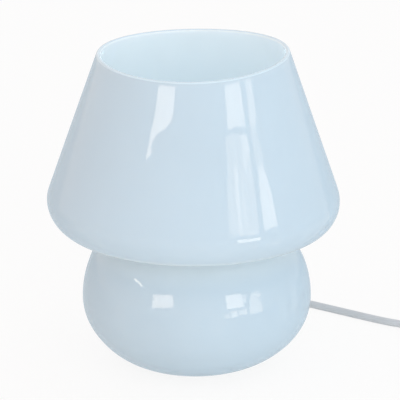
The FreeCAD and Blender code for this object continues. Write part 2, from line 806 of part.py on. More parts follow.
def runs(points):
    """Straight runs joined by tangent arcs that use a share of the shorter run, as edges."""
    edges = []
    here = points[0]
    radii = []
    for before, corner, after in zip(points, points[1:], points[2:]):
        arriving = unit(corner - before)
        leaving = unit(after - corner)
        half_turn = arriving.getAngle(leaving) / 2
        reach = BEND_SHARE * min((corner - before).Length, (after - corner).Length)
        bend = reach / math.tan(half_turn)
        inwards = unit(leaving - arriving)
        middle = corner + inwards * (bend / math.cos(half_turn) - bend)
        first = corner - arriving * reach
        last = corner + leaving * reach
        edges.append(Part.LineSegment(here, first).toShape())
        edges.append(Part.Arc(first, middle, last).toShape())
        radii.append(round(bend, 1))
        here = last
    edges.append(Part.LineSegment(here, points[-1]).toShape())
    print("bend radii", radii)
    return edges


def tube(label, points, radius):
    """A round tube along straight runs and arcs."""
    return piece(label, pipe(label, runs(points), points[0], points[1] - points[0], radius))


def vector(x, y, z):
    """A point from three numbers."""
    return FreeCAD.Vector(x, y, z)


cord_radius = size("cord_diameter") / 2
seat = number(SEAT)
cord_top = seat + size("nipple_above") - size("core_bared")
exit_out = size("grommet_flange_height") + size("relief_length")
hole_axis = hole_frame.Rotation.multVec(vector(0, 0, 1))
exit_end = hole_spot + hole_axis * exit_out
axis_start = hole_spot - hole_axis * 29
inner_turn = number(GRIP_BOTTOM) - 8.5
inner_points = [
    vector(0, 0, cord_top),
    vector(0, 0, inner_turn),
    outwards * 13 + vector(0, 0, inner_turn - 13.5),
    axis_start - outwards * 15 + vector(0, 0, 1.7),
    axis_start,
    exit_end,
]
tube("inner_cord", inner_points, cord_radius)

core_radius = size("core_radius")
terminal_end = number(TERMINAL_BOTTOM)
for label, side in (("wire_live", 1), ("wire_neutral", -1)):
    core_x = side * size("core_spread")
    post_x = side * size("terminal_offset")
    core_points = [
        vector(core_x, 0, cord_top),
        vector(core_x, 0, terminal_end - 4.5),
        vector(post_x, 0, terminal_end - 2.5),
        vector(post_x, 0, terminal_end),
    ]
    tube(label, core_points, core_radius)

# ---------------------------------------------------------------- lead from the lamp to the switch
floor_height = cord_radius + size("floor_clearance")
touchdown = exit_end + hole_axis * ((exit_end.z - floor_height) / -hole_axis.z)
SWITCH_HEADING = -32.8
heading = vector(math.cos(math.radians(SWITCH_HEADING)), math.sin(math.radians(SWITCH_HEADING)), 0)
switch_start = vector(181.2, 29.6, 0)
cord_height = vector(0, 0, size("switch_parting"))
CORD_END_INSIDE = 10
lead_points = [
    exit_end,
    touchdown,
    touchdown + vector(-2.6, 11.4, 0),
    touchdown + vector(4.1, 28.7, 0),
    touchdown + vector(20.1, 39.5, 0),
    touchdown + vector(39.1, 39.2, 0),
    vector(34, 127.5, floor_height),
    vector(58, 110.3, floor_height),
    vector(98, 83.9, floor_height),
    vector(146, 51.8, floor_height),
    switch_start - heading * 17.5 + cord_height,
    switch_start + heading * CORD_END_INSIDE + cord_height,
]
tube("lead_to_switch", lead_points, cord_radius)

switch_end = switch_start + heading * size("switch_length")
coil_low = cord_radius + size("tie_thickness") + size("tie_clearance")
coil_entry = switch_end + heading * 32 + vector(0, 0, coil_low)
link_points = [
    switch_end - heading * CORD_END_INSIDE + cord_height,
    switch_end + heading * 9 + cord_height,
    switch_end + heading * 22 + vector(0, 0, coil_low),
    coil_entry,
]
tube("lead_to_coil", link_points, cord_radius)

# ---------------------------------------------------------------- coil of put-away cord
spacing = size("coil_spacing")
laps = (size("coil_turns") - 0.5) / 2
coil_outer = size("coil_mean_radius") + spacing * laps / 2
coil_inner = coil_outer - spacing * laps
coil_high = coil_low + spacing
coil_lean = math.atan(spacing / (2 * math.pi * coil_outer))
coil_start_angle = math.radians(SWITCH_HEADING) - math.pi / 2 - coil_lean
stub = size("cord_diameter")
coil_first = coil_entry + heading * stub
coil_centre = coil_first - vector(math.cos(coil_start_angle), math.sin(coil_start_angle), 0) * coil_outer


def coil_at(turns):
    """The centreline's point and its direction after so many turns: in, up a layer and out."""
    if turns <= laps:
        radius, slope, z, climb = coil_outer - spacing * turns, -spacing, coil_low, 0
    elif turns < laps + 0.5:
        part = turns - laps
        share = part / 0.5
        radius = coil_inner - spacing * part + 2 * spacing * part**2
        slope = -spacing + 4 * spacing * part
        z = coil_low + (coil_high - coil_low) * (3 * share**2 - 2 * share**3)
        climb = (coil_high - coil_low) * 6 * (share - share**2) / 0.5
    else:
        radius, slope = coil_inner + spacing * (turns - laps - 0.5), spacing
        z, climb = coil_high, 0
    angle = coil_start_angle + 2 * math.pi * turns
    out = vector(math.cos(angle), math.sin(angle), 0)
    round_it = vector(-math.sin(angle), math.cos(angle), 0)
    point = vector(coil_centre.x, coil_centre.y, z) + out * radius
    return point, unit(out * slope + round_it * (2 * math.pi * radius) + vector(0, 0, climb))


def arc_through(start, apex, end):
    """The arc from start to end whose end tangents meet at the apex."""
    half_chord = (end - start).Length / 2
    chord_middle = (start + end) * 0.5
    rise = apex - chord_middle
    if rise.Length < 1e-6:
        return Part.LineSegment(start, end).toShape()
    sag = half_chord * math.tan(math.atan(rise.Length / half_chord) / 2)
    return Part.Arc(start, chord_middle + unit(rise) * sag, end).toShape()


def biarc(start, start_way, end, end_way):
    """Two arcs that meet smoothly, with a given direction at each end."""
    chord = end - start
    ways = start_way + end_way
    bend = 2 * (1 - start_way.dot(end_way))
    reach = (math.sqrt(chord.dot(ways) ** 2 + bend * chord.dot(chord)) - chord.dot(ways)) / bend
    first_apex = start + start_way * reach
    last_apex = end - end_way * reach
    middle = (first_apex + last_apex) * 0.5
    return [arc_through(start, first_apex, middle), arc_through(middle, last_apex, end)]


quarter_turns = round(4 * size("coil_turns"))
knots = [coil_at(step * size("coil_turns") / quarter_turns) for step in range(quarter_turns + 1)]
coil_edges = [Part.LineSegment(coil_entry, coil_first).toShape()]
for (start, start_way), (end, end_way) in zip(knots, knots[1:]):
    coil_edges += biarc(start, start_way, end, end_way)
coil_last, tail_heading = knots[-1]
coil_exit = coil_last + tail_heading * stub
coil_edges.append(Part.LineSegment(coil_last, coil_exit).toShape())
piece("cord_coil", pipe("cord_coil", coil_edges, coil_entry, heading, cord_radius))

spots = [point for edge in coil_edges for point in edge.discretize(Distance=1.0)[:-1]]
skip = round(3 * size("cord_diameter"))
nearest = min(
    spots[first].distanceToPoint(spots[later])
    for first in range(0, len(spots))
    for later in range(first + skip, len(spots))
)
print(f"cord_coil: least gap between its turns {nearest - 2 * cord_radius:.2f}")

# the tie stands a quarter turn on from where the cord comes in
tie_angle = coil_start_angle + math.pi / 2
tie_out = vector(math.cos(tie_angle), math.sin(tie_angle), 0)
tie_round = vector(-math.sin(tie_angle), math.cos(tie_angle), 0)
tie_reach = size("tie_width") / 2 + 0.5
level_centre = vector(coil_centre.x, coil_centre.y, 0)
held = [
    spot
    for spot in spots
    if abs((spot - level_centre).dot(tie_round)) < tie_reach and (spot - level_centre).dot(tie_out) > 0
]
margin = cord_radius + size("tie_clearance")
tie_near = min((spot - level_centre).dot(tie_out) for spot in held) - margin
tie_far = max((spot - level_centre).dot(tie_out) for spot in held) + margin
tie_low = min(spot.z for spot in held) - margin
tie_high = max(spot.z for spot in held) + margin
tie_depth = f"{tie_far - tie_near}"
tie_rise = f"{tie_high - tie_low}"
tie_middle = f"{(tie_near + tie_far) / 2}"
tie_body = block(
    "tie_body",
    f"{tie_depth} + 2 * tie_thickness",
    "tie_width",
    f"{tie_rise} + 2 * tie_thickness",
    tie_middle,
    "0",
    f"{tie_low} - tie_thickness",
)
tie_space = block("tie_space", tie_depth, "tie_width * 2", tie_rise, tie_middle, "0", f"{tie_low}")
tie_frame = frame_at(coil_centre.x, coil_centre.y, 0, math.degrees(tie_angle))
piece("coil_tie", cut("tie", tie_body, tie_space), tie_frame)

# ---------------------------------------------------------------- tail and plug
plug_axis = size("plug_height") / 2
level_heading = unit(vector(tail_heading.x, tail_heading.y, 0))
plug_start = vector(coil_exit.x, coil_exit.y, plug_axis) + level_heading * 58
tail_points = [
    coil_exit,
    coil_exit + level_heading * 15,
    plug_start - level_heading * 14,
    plug_start,
]
tube("plug_lead", tail_points, cord_radius)

plug_bearing = math.degrees(math.atan2(level_heading.y, level_heading.x))
plug_frame = frame_at(plug_start.x, plug_start.y, 0, plug_bearing)
COLLAR = "plug_collar_length"
PLUG_FACE = "(plug_collar_length + plug_length)"
plug_outline = [
    (COLLAR, "-plug_collar_radius"),
    (f"{COLLAR} + plug_length / 2", "-plug_width / 2"),
    (PLUG_FACE, "-plug_width / 2"),
    (PLUG_FACE, "plug_width / 2"),
    (f"{COLLAR} + plug_length / 2", "plug_width / 2"),
    (COLLAR, "plug_collar_radius"),
]
plug_slab = padded("plug_slab", "XY_Plane", plug_outline, "plug_height")
collar = rod("collar", "plug_collar_radius", "plug_collar_length + 1", "X")
move(collar, "0", "0", "plug_height / 2")
PIN_START = f"({PLUG_FACE} - pin_root)"


def pins_at(name, radius, length, x):
    """Two rods along the plug, a pin's spacing apart."""
    left = rod(name + "_left", radius, length, "X")
    right = rod(name + "_right", radius, length, "X")
    move(left, x, "pin_spacing / 2", "plug_height / 2")
    move(right, x, "-pin_spacing / 2", "plug_height / 2")
    return left, right


sockets = pins_at("pin_socket", "pin_core_radius", "pin_root + 1", PIN_START)
plug_form = cut("plug_form", fused("plug_solid", plug_slab, collar), *sockets)
piece("plug_body", plug_form, plug_frame)
cores = pins_at("pin_core", "pin_core_radius", "pin_root + pin_length", PIN_START)
tip_start = f"{PLUG_FACE} + pin_sleeve_length"
tips = pins_at("pin_tip", "pin_radius", "pin_length - pin_sleeve_length", tip_start)
pins = group("pins", fused("left_pin", cores[0], tips[0]), fused("right_pin", cores[1], tips[1]))
piece("plug_pins", pins, plug_frame)
jackets = pins_at("pin_jacket", "pin_sleeve_radius", "pin_sleeve_length", PLUG_FACE)
bore_start = f"{PLUG_FACE} - pin_sleeve_length / 2"
bores = pins_at("pin_bore", "pin_core_radius", "pin_sleeve_length * 2", bore_start)
left_sleeve = cut("left_sleeve", jackets[0], bores[0])
right_sleeve = cut("right_sleeve", jackets[1], bores[1])
piece("plug_pin_sleeves", group("sleeves", left_sleeve, right_sleeve), plug_frame)

# ---------------------------------------------------------------- in-line switch
# local X runs with the cord from the end it comes in by, Z is up
switch_frame = frame_at(switch_start.x, switch_start.y, 0, SWITCH_HEADING)
MIDDLE = "(switch_length / 2)"
CORNER = "(switch_width / 5)"


def rounded(name, height, z):
    """A slab of the switch's outline with rounded corners."""
    half = "switch_width / 2"
    far = "switch_length"
    near_x, far_x = CORNER, f"switch_length - {CORNER}"
    low_y, high_y = f"{CORNER} - {half}", f"{half} - {CORNER}"
    corners = [
        (near_x, f"-{half}"),
        (far_x, f"-{half}", CORNER, far_x, low_y, 1),
        (far, low_y),
        (far, high_y, CORNER, far_x, high_y, 1),
        (far_x, half),
        (near_x, half, CORNER, near_x, high_y, 1),
        ("0", high_y),
        ("0", low_y, CORNER, near_x, low_y, 1),
    ]
    slab = padded(name, "XY_Plane", corners, height)
    return move(slab, "0", "0", z)


def in_pairs(name, maker, length, y):
    """The same solid near each end of the switch, on opposite sides of the middle."""
    near = maker(name + "_near", f"{MIDDLE} - {length}", f"-({y})")
    far = maker(name + "_far", f"{MIDDLE} + {length}", y)
    return near, far


INSIDE_LENGTH = "switch_length - 2 * switch_wall"
INSIDE_WIDTH = "switch_width - 2 * switch_wall"
CASE_SCREW_X = "switch_screw_offset"
CASE_SCREW_Y = "(switch_width / 2 - switch_wall - switch_boss_radius + boss_overlap)"
CLAMP_X = f"({MIDDLE} - switch_wall - clamp_end_gap - clamp_length / 2)"
CLAMP_TOP = "(switch_parting + cord_diameter / 2 + grommet_fit)"
CLAMP_POST_Y = "(cord_diameter / 2 + clamp_post_gap + clamp_post_radius)"


def upright(radius, length, z):
    """A maker of upright rods for in_pairs."""
    return lambda name, x, y: move(rod(name, radius, length), x, y, z)


cord_way = rod("cord_way", CORD_PASSAGE, "switch_length * 2", "X")
move(cord_way, "-switch_length / 2", "0", "switch_parting")
lower_hollow = block(
    "lower_hollow", INSIDE_LENGTH, INSIDE_WIDTH, "switch_parting", MIDDLE, "0", "switch_wall"
)
lower_tray = cut("lower_tray", rounded("lower_slab", "switch_parting", "0"), lower_hollow, cord_way)
lower_boss = upright("switch_boss_radius", "switch_parting - switch_wall", "switch_wall")
lower_bosses = in_pairs("lower_boss", lower_boss, CASE_SCREW_X, CASE_SCREW_Y)
clamp_post = upright("clamp_post_radius", f"{CLAMP_TOP} - switch_wall", "switch_wall")
clamp_posts = in_pairs("clamp_post", clamp_post, CLAMP_X, CLAMP_POST_Y)
clamp_posts += in_pairs("clamp_post_other", clamp_post, CLAMP_X, f"-{CLAMP_POST_Y}")
screw_hole = upright("switch_screw_radius + screw_clearance", "switch_height", "-1")
screw_holes = in_pairs("case_screw_hole", screw_hole, CASE_SCREW_X, CASE_SCREW_Y)
head_hole = upright("screw_head_radius + screw_head_clearance", "screw_head_recess + 1", "-1")
head_holes = in_pairs("case_head_hole", head_hole, CASE_SCREW_X, CASE_SCREW_Y)
lower_whole = fused("lower_whole", lower_tray, *lower_bosses, *clamp_posts)
piece("switch_lower_housing", cut("lower_case", lower_whole, *screw_holes, *head_holes), switch_frame)

upper_height = "(switch_height - switch_parting)"
upper_hollow = block(
    "upper_hollow",
    INSIDE_LENGTH,
    INSIDE_WIDTH,
    f"{upper_height} - switch_wall",
    MIDDLE,
    "0",
    "switch_parting",
)
window = block(
    "window",
    "rocker_length + 2 * rocker_clearance",
    "rocker_width + 2 * rocker_clearance",
    "switch_height",
    MIDDLE,
    "0",
    "switch_parting",
)
upper_slab = rounded("upper_slab", upper_height, "switch_parting")
upper_tray = cut("upper_tray", upper_slab, upper_hollow, window, cord_way)
upper_boss = upright("switch_boss_radius", f"{upper_height} - switch_wall / 2", "switch_parting")
upper_bosses = in_pairs("upper_boss", upper_boss, CASE_SCREW_X, CASE_SCREW_Y)
RIB_Y = "(rocker_width / 2 + rocker_clearance + rib_thickness / 2)"
RIB_BOTTOM = "(rocker_pivot_height - 2 * rocker_pin_radius)"
RIB_HEIGHT = f"(switch_height - switch_wall / 2 - {RIB_BOTTOM})"


def rib(name, x, y):
    """A rib under the cover that carries one end of the rocker's pin."""
    return block(name, "rib_length", "rib_thickness", RIB_HEIGHT, x, y, RIB_BOTTOM)


ribs = in_pairs("pivot_rib", rib, "0", RIB_Y)
tip_hole = upright("switch_screw_radius", f"{upper_height} - screw_tip_depth", "switch_parting")
tip_holes = in_pairs("upper_screw_hole", tip_hole, CASE_SCREW_X, CASE_SCREW_Y)


def pin_rod(name, radius, length):
    """A rod across the switch at the rocker's pivot."""
    solid = rod(name, radius, length, "Y")
    return move(solid, MIDDLE, f"-({length}) / 2", "rocker_pivot_height")


pin_length = f"(2 * {RIB_Y} + rib_thickness)"
pivot_hole = pin_rod("pivot_hole", "rocker_pin_radius", f"({pin_length} + 1)")
upper_whole = fused("upper_whole", upper_tray, *upper_bosses, *ribs)
piece("switch_upper_cover", cut("upper_case", upper_whole, *tip_holes, pivot_hole), switch_frame)

pivot_pin = pin_rod("pivot_pin", "rocker_pin_radius", pin_length)
piece("switch_rocker_pin", group("rocker_pin", pivot_pin), switch_frame)


def case_screw(name, x, y):
    """A screw from under the switch up into the cover."""
    head = rod(name + "_head", "screw_head_radius", "screw_head_recess - screw_head_sink")
    move(head, x, y, "screw_head_sink")
    shank = rod(name + "_shank", "switch_screw_radius", "switch_height - screw_tip_depth - screw_head_recess")
    move(shank, x, y, "screw_head_recess")
    slot_start = "screw_head_sink - screw_slot"
    slot = block(name + "_slot", "3 * screw_head_radius", "screw_slot", "2 * screw_slot", x, y, slot_start)
    return cut(name + "_slotted", fused(name, head, shank), slot)


case_screws = in_pairs("case_screw", case_screw, CASE_SCREW_X, CASE_SCREW_Y)
piece("switch_screws", group("case_screw_set", *case_screws), switch_frame)


def clamp(name, x, y):
    """A flat clamp across a pair of posts."""
    width = f"2 * ({CLAMP_POST_Y} + clamp_post_radius)"
    return block(name, "clamp_length", width, "clamp_thickness", x, y, CLAMP_TOP)


clamps = in_pairs("cord_clamp", clamp, CLAMP_X, "0")
piece("switch_cord_clamps", group("clamp_set", *clamps), switch_frame)

# the two fixed contacts stand side by side under one end of the rocker
BRIDGE_END = "(bridge_offset + bridge_length / 2)"
TILT_DROP = (
    "((rocker_below_pivot + contact_thickness) * cos(rocker_tilt)"
    f" + {BRIDGE_END} * sin(rocker_tilt))"
)
CONTACT_TOP = f"(rocker_pivot_height - {TILT_DROP} - contact_gap)"
CONTACT_X = f"({MIDDLE} + fixed_contact_offset)"


def terminal_x(side):
    """Where a terminal block stands: the incoming one on one side, the outgoing one on the other."""
    return f"({MIDDLE} - {side} * terminal_block_offset)"


def fixed_contact(name, side):
    """A post under the rocker, a strip along the floor and a terminal block at its end."""
    y = f"{side} * contact_row_offset"
    end_x = terminal_x(side)
    post_height = f"{CONTACT_TOP} - switch_wall"
    length, width = "fixed_contact_length", "fixed_contact_width"
    post = block(name + "_post", length, width, post_height, CONTACT_X, y, "switch_wall")
    middle = f"({CONTACT_X} + {end_x}) / 2"
    run = f"abs({CONTACT_X} - {end_x}) + {length}"
    strip = block(name + "_strip", run, width, "fixed_strip_thickness", middle, y, "switch_wall")
    edge = "terminal_block"
    terminal = block(name + "_block", edge, edge, edge, end_x, y, "switch_wall")
    return fused(name, post, strip, terminal)


contacts = group("contact_set", fixed_contact("in_contact", 1), fixed_contact("out_contact", -1))
piece("switch_contacts", contacts, switch_frame)


def terminal_screw(name, side):
    """A slotted screw on a terminal block."""
    x, y = terminal_x(side), f"{side} * contact_row_offset"
    foot = "switch_wall + terminal_block"
    head = move(rod(name, "switch_screw_radius", "terminal_screw_height"), x, y, foot)
    slot_start = f"{foot} + terminal_screw_height - terminal_slot"
    slot_length = "3 * switch_screw_radius"
    slot = block(name + "_slot", slot_length, "terminal_slot", "2 * terminal_slot", x, y, slot_start)
    return cut(name + "_cut", head, slot)


screws = group("terminal_set", terminal_screw("in_screw", 1), terminal_screw("out_screw", -1))
piece("switch_terminal_screws", screws, switch_frame)

# the neutral core runs straight through; the live ones go to the terminals
half_length = size("switch_length") / 2
core_end = half_length - CORD_END_INSIDE
core_y = size("core_spread")
core_z = size("switch_parting") - 1
neutral = [
    (-core_end, -core_y, core_z),
    (-core_end + 4, -core_y, core_z),
    (core_end - 4, core_y, core_z),
    (core_end, core_y, core_z),
]
block_face = size("terminal_block_offset") + size("terminal_block") / 2
block_y = size("contact_row_offset")
block_z = size("switch_wall") + size("terminal_block") / 2
live = [
    (-core_end, core_y, core_z),
    (-core_end + 2, core_y, core_z),
    (-block_face - 2, block_y, block_z),
    (-block_face, block_y, block_z),
]
for label, side, route in (
    ("switch_neutral_wire", 1, neutral),
    ("switch_wire_in", 1, live),
    ("switch_wire_out", -1, live),
):
    core_spots = [switch_frame.multVec(vector(half_length + side * x, side * y, z)) for x, y, z in route]
    tube(label, core_spots, core_radius)

rocker_outline = [
    ("-rocker_length / 2", "-rocker_below_pivot"),
    ("rocker_length / 2", "-rocker_below_pivot"),
    ("rocker_length / 2", "rocker_above_pivot"),
    ("0", "rocker_above_pivot - rocker_dish"),
    ("-rocker_length / 2", "rocker_above_pivot"),
]
rocker_blank = padded("rocker_blank", "XZ_Plane", rocker_outline, "rocker_width", both_ways=True)
rocker_bore = rod("rocker_bore", "rocker_pin_radius + rocker_pin_clearance", "rocker_width * 2", "Y")
move(rocker_bore, "0", "-rocker_width", "0")
pivot_spot = switch_frame.multVec(vector(half_length, 0, size("rocker_pivot_height")))
rocker_frame = frame_at(*pivot_spot, SWITCH_HEADING, -size("rocker_tilt"))
piece("switch_rocker", cut("rocker", rocker_blank, rocker_bore), rocker_frame)
bridge = block(
    "bridge",
    "bridge_length",
    "rocker_width - 2 * bridge_margin",
    "contact_thickness",
    "bridge_offset",
    "0",
    "-rocker_below_pivot - contact_thickness",
)
piece("switch_moving_contact", group("bridge_set", bridge), rocker_frame)

# ---------------------------------------------------------------- check and write
doc.recompute()
for item in doc.Objects:
    if "Invalid" in item.State or "Error" in item.State:
        raise RuntimeError(f"{item.Label} did not recompute")
os.makedirs("parts", exist_ok=True)
for item in PIECES:
    if item.Shape.isNull() or not item.Shape.isValid():
        raise RuntimeError(f"{item.Label} has no valid shape")
    item.Shape.exportStep(f"parts/{item.Label}.step")
    size_of = item.Shape.BoundBox
    print(
        f"{item.Label}: {len(item.Shape.Solids)} solid(s), {item.Shape.Volume:.1f} mm3,"
        f" {size_of.XLength:.1f} x {size_of.YLength:.1f} x {size_of.ZLength:.1f}"
    )
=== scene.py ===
"""A small mushroom table lamp in one-piece opal glass, dressed round its CAD frame.

Metres. +Z is up, the origin is on the table under the lamp, and +Y points to the back, where
the mains lead leaves the base.
"""
import logging
import math
from dataclasses import dataclass, replace
from enum import Enum

import bmesh
import bpy
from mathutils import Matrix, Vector


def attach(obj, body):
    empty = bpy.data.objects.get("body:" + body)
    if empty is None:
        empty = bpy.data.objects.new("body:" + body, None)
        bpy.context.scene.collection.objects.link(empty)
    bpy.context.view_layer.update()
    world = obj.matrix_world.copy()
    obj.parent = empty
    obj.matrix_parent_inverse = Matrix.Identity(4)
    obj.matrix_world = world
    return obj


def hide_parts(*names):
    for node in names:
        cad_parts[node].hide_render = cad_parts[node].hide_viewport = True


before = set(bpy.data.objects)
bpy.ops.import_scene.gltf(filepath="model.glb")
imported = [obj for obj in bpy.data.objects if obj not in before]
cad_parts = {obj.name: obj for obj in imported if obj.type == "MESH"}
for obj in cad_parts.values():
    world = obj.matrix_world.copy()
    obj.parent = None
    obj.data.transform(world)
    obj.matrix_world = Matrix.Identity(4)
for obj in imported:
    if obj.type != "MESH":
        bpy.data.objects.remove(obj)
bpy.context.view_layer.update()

LOG = logging.getLogger("mushroom_lamp")

Colour = tuple[float, float, float]
Range = tuple[float, float]
Place = tuple[float, float, float]
Route = tuple[Place, ...]
Outline = list[tuple[float, float]]
Piece = bpy.types.Object
Tree = bpy.types.NodeTree
Node = bpy.types.Node
Socket = bpy.types.NodeSocket

WHITE: Colour = (1.0, 1.0, 1.0)
UP = Vector((0.0, 0.0, 1.0))


class Body(Enum):
    """The CAD bodies that the new pieces ride on."""

    LAMP = "lamp"
    ROCKER = "rocker"


class RayKind(Enum):
    """The kinds of ray that see the pale surroundings instead of the studio's light."""

    CAMERA = "Is Camera Ray"
    GLOSSY = "Is Glossy Ray"
    TRANSMISSION = "Is Transmission Ray"


class GlassZone(Enum):
    """The parts of the glass, by the number of their finish on its mesh."""

    OUTSIDE = 0
    # the inside's finish is a paler, glowing copy of the glass: painted light
    INSIDE = 1
    # the lip's finish is a paler colour: a painted highlight along the rim
    LIP = 2


class Slope(Enum):
    """How a ramp goes from one end to the other."""

    STRAIGHT = "LINEAR"
    EASED = "SMOOTHSTEP"


# ---------------------------------------------------------------- shader nodes
def ramp(tree: Tree, source: Socket, span: Range, ends: Range, slope: Slope = Slope.STRAIGHT) -> Socket:
    """Maps a value to another, held at the ends.

    Args:
        tree: The nodes to add to.
        source: The value's output.
        span: The values that the ramp goes between.
        ends: What they become.
        slope: How it goes from one to the other.

    Returns:
        The mapped output.
    """
    mapping = tree.nodes.new("ShaderNodeMapRange")
    mapping.interpolation_type = slope.value
    mapping.inputs["From Min"].default_value, mapping.inputs["From Max"].default_value = span
    mapping.inputs["To Min"].default_value, mapping.inputs["To Max"].default_value = ends
    tree.links.new(source, mapping.inputs["Value"])
    return mapping.outputs["Result"]


def mixed(tree: Tree, share: Socket, first: Colour, second: Colour) -> Node:
    """Mixes two colours.

    Args:
        tree: The nodes to add to.
        share: How much there is of the second.
        first: The first colour.
        second: The second colour.

    Returns:
        The mixing node.
    """
    mix = tree.nodes.new("ShaderNodeMix")
    mix.data_type = "RGBA"
    mix.inputs["A"].default_value = (*first, 1.0)
    mix.inputs["B"].default_value = (*second, 1.0)
    tree.links.new(share, mix.inputs["Factor"])
    return mix


def noise(tree: Tree, vector: Socket, scale: float, detail: float) -> Socket:
    """Adds a noise.

    Args:
        tree: The nodes to add to.
        vector: The place that it is taken at.
        scale: Its scale, to a metre.
        detail: Its octaves.

    Returns:
        The noise's output.
    """
    node = tree.nodes.new("ShaderNodeTexNoise")
    node.inputs["Scale"].default_value = scale
    node.inputs["Detail"].default_value = detail
    tree.links.new(vector, node.inputs["Vector"])
    return node.outputs["Fac"]


# ---------------------------------------------------------------- finishes
NOISE_MIDDLE: Range = (0.3, 0.7)


@dataclass(frozen=True)
class Finish:
    """A surface with slight unevenness in colour, gloss and level.

    Attributes:
        name: The material's name.
        colour: The base colour, linear.
        roughness: The middle of the roughness.
        roughness_share: How far the roughness strays, as a share.
        patch: How far the colour strays, as a share.
        patch_scale: How many patches there are to a metre.
        patch_detail: The patches' octaves.
        wear_pace: How many patches of wear there are to one of colour.
        wear_detail: The wear's octaves.
        grain: The height of the surface grain, in metres.
        grain_scale: How many grains there are to a metre.
        grain_detail: The grain's octaves.
        grain_strength: How strongly the grain shows.
        grain_stretch: The grain's scale along each axis.
        metallic: 1 for bare metal.
        specular: The specular level.
        coat: The weight of a clear skin.
        glow: How much of the light soaks in and spreads, as in milky glass.
        glow_depth: How far it spreads, in metres.
        painted_glow: How strongly the surface glows in its own colour. This is painted light, standing in
            for light that comes through milky glass from the other side.
    """

    name: str
    colour: Colour
    roughness: float = 0.4
    roughness_share: float = 0.15
    patch: float = 0.03
    patch_scale: float = 60.0
    patch_detail: float = 3.0
    wear_pace: float = 2.3
    wear_detail: float = 4.0
    grain: float = 0.00004
    grain_scale: float = 900.0
    grain_detail: float = 2.0
    grain_strength: float = 1.0
    grain_stretch: tuple[float, float, float] = (1.0, 1.0, 1.0)
    metallic: float = 0.0
    specular: float = 0.5
    coat: float = 0.0
    glow: float = 0.0
    glow_depth: float = 0.004
    painted_glow: float = 0.0

    def material(self) -> bpy.types.Material:
        """Makes the node material, or finds the one made before.

        Returns:
            The material.
        """
        title = self.name + "_finish"
        found = bpy.data.materials.get(title)
        if found:
            return found
        material = bpy.data.materials.new(title)
        material.use_nodes = True
        tree = material.node_tree
        sockets = tree.nodes["Principled BSDF"].inputs
        sockets["Metallic"].default_value = self.metallic
        sockets["Specular IOR Level"].default_value = self.specular
        sockets["Coat Weight"].default_value = self.coat
        sockets["Subsurface Weight"].default_value = self.glow
        sockets["Subsurface Radius"].default_value = (1.0, 1.0, 1.0)
        sockets["Subsurface Scale"].default_value = self.glow_depth
        # painted glow: the surface emits its own colour as painted light
        sockets["Emission Color"].default_value = (*self.colour, 1.0)
        sockets["Emission Strength"].default_value = self.painted_glow
        place = tree.nodes.new("ShaderNodeTexCoord").outputs["Object"]
        tree.links.new(self.colour_nodes(tree, place), sockets["Base Color"])
        tree.links.new(self.gloss_nodes(tree, place), sockets["Roughness"])
        tree.links.new(self.level_nodes(tree, place), sockets["Normal"])
        return material

    def colour_nodes(self, tree: Tree, place: Socket) -> Socket:
        """Lets the colour stray a little from place to place.

        Args:
            tree: The material's nodes.
            place: The piece's own coordinates.

        Returns:
            The colour's output.
        """
        darker = [channel * (1.0 - self.patch) for channel in self.colour]
        lighter = [min(1.0, channel * (1.0 + self.patch)) for channel in self.colour]
        patches = noise(tree, place, self.patch_scale, self.patch_detail)
        share = ramp(tree, patches, NOISE_MIDDLE, (0.0, 1.0))
        return mixed(tree, share, darker, lighter).outputs["Result"]

    def gloss_nodes(self, tree: Tree, place: Socket) -> Socket:
        """Lets the roughness vary, as handling leaves it.

        Args:
            tree: The material's nodes.
            place: The piece's own coordinates.

        Returns:
            The roughness's output.
        """
        low = self.roughness * (1.0 - self.roughness_share)
        high = min(1.0, self.roughness * (1.0 + self.roughness_share))
        wear = noise(tree, place, self.patch_scale * self.wear_pace, self.wear_detail)
        return ramp(tree, wear, NOISE_MIDDLE, (low, high))

    def level_nodes(self, tree: Tree, place: Socket) -> Socket:
        """Adds the grain.

        Args:
            tree: The material's nodes.
            place: The piece's own coordinates.

        Returns:
            The normal's output.
        """
        stretch = tree.nodes.new("ShaderNodeMapping")
        stretch.inputs["Scale"].default_value = self.grain_stretch
        tree.links.new(place, stretch.inputs["Vector"])
        height = noise(tree, stretch.outputs["Vector"], self.grain_scale, self.grain_detail)
        bump = tree.nodes.new("ShaderNodeBump")
        bump.inputs["Strength"].default_value = self.grain_strength
        bump.inputs["Distance"].default_value = self.grain
        tree.links.new(height, bump.inputs["Height"])
        return bump.outputs["Normal"]


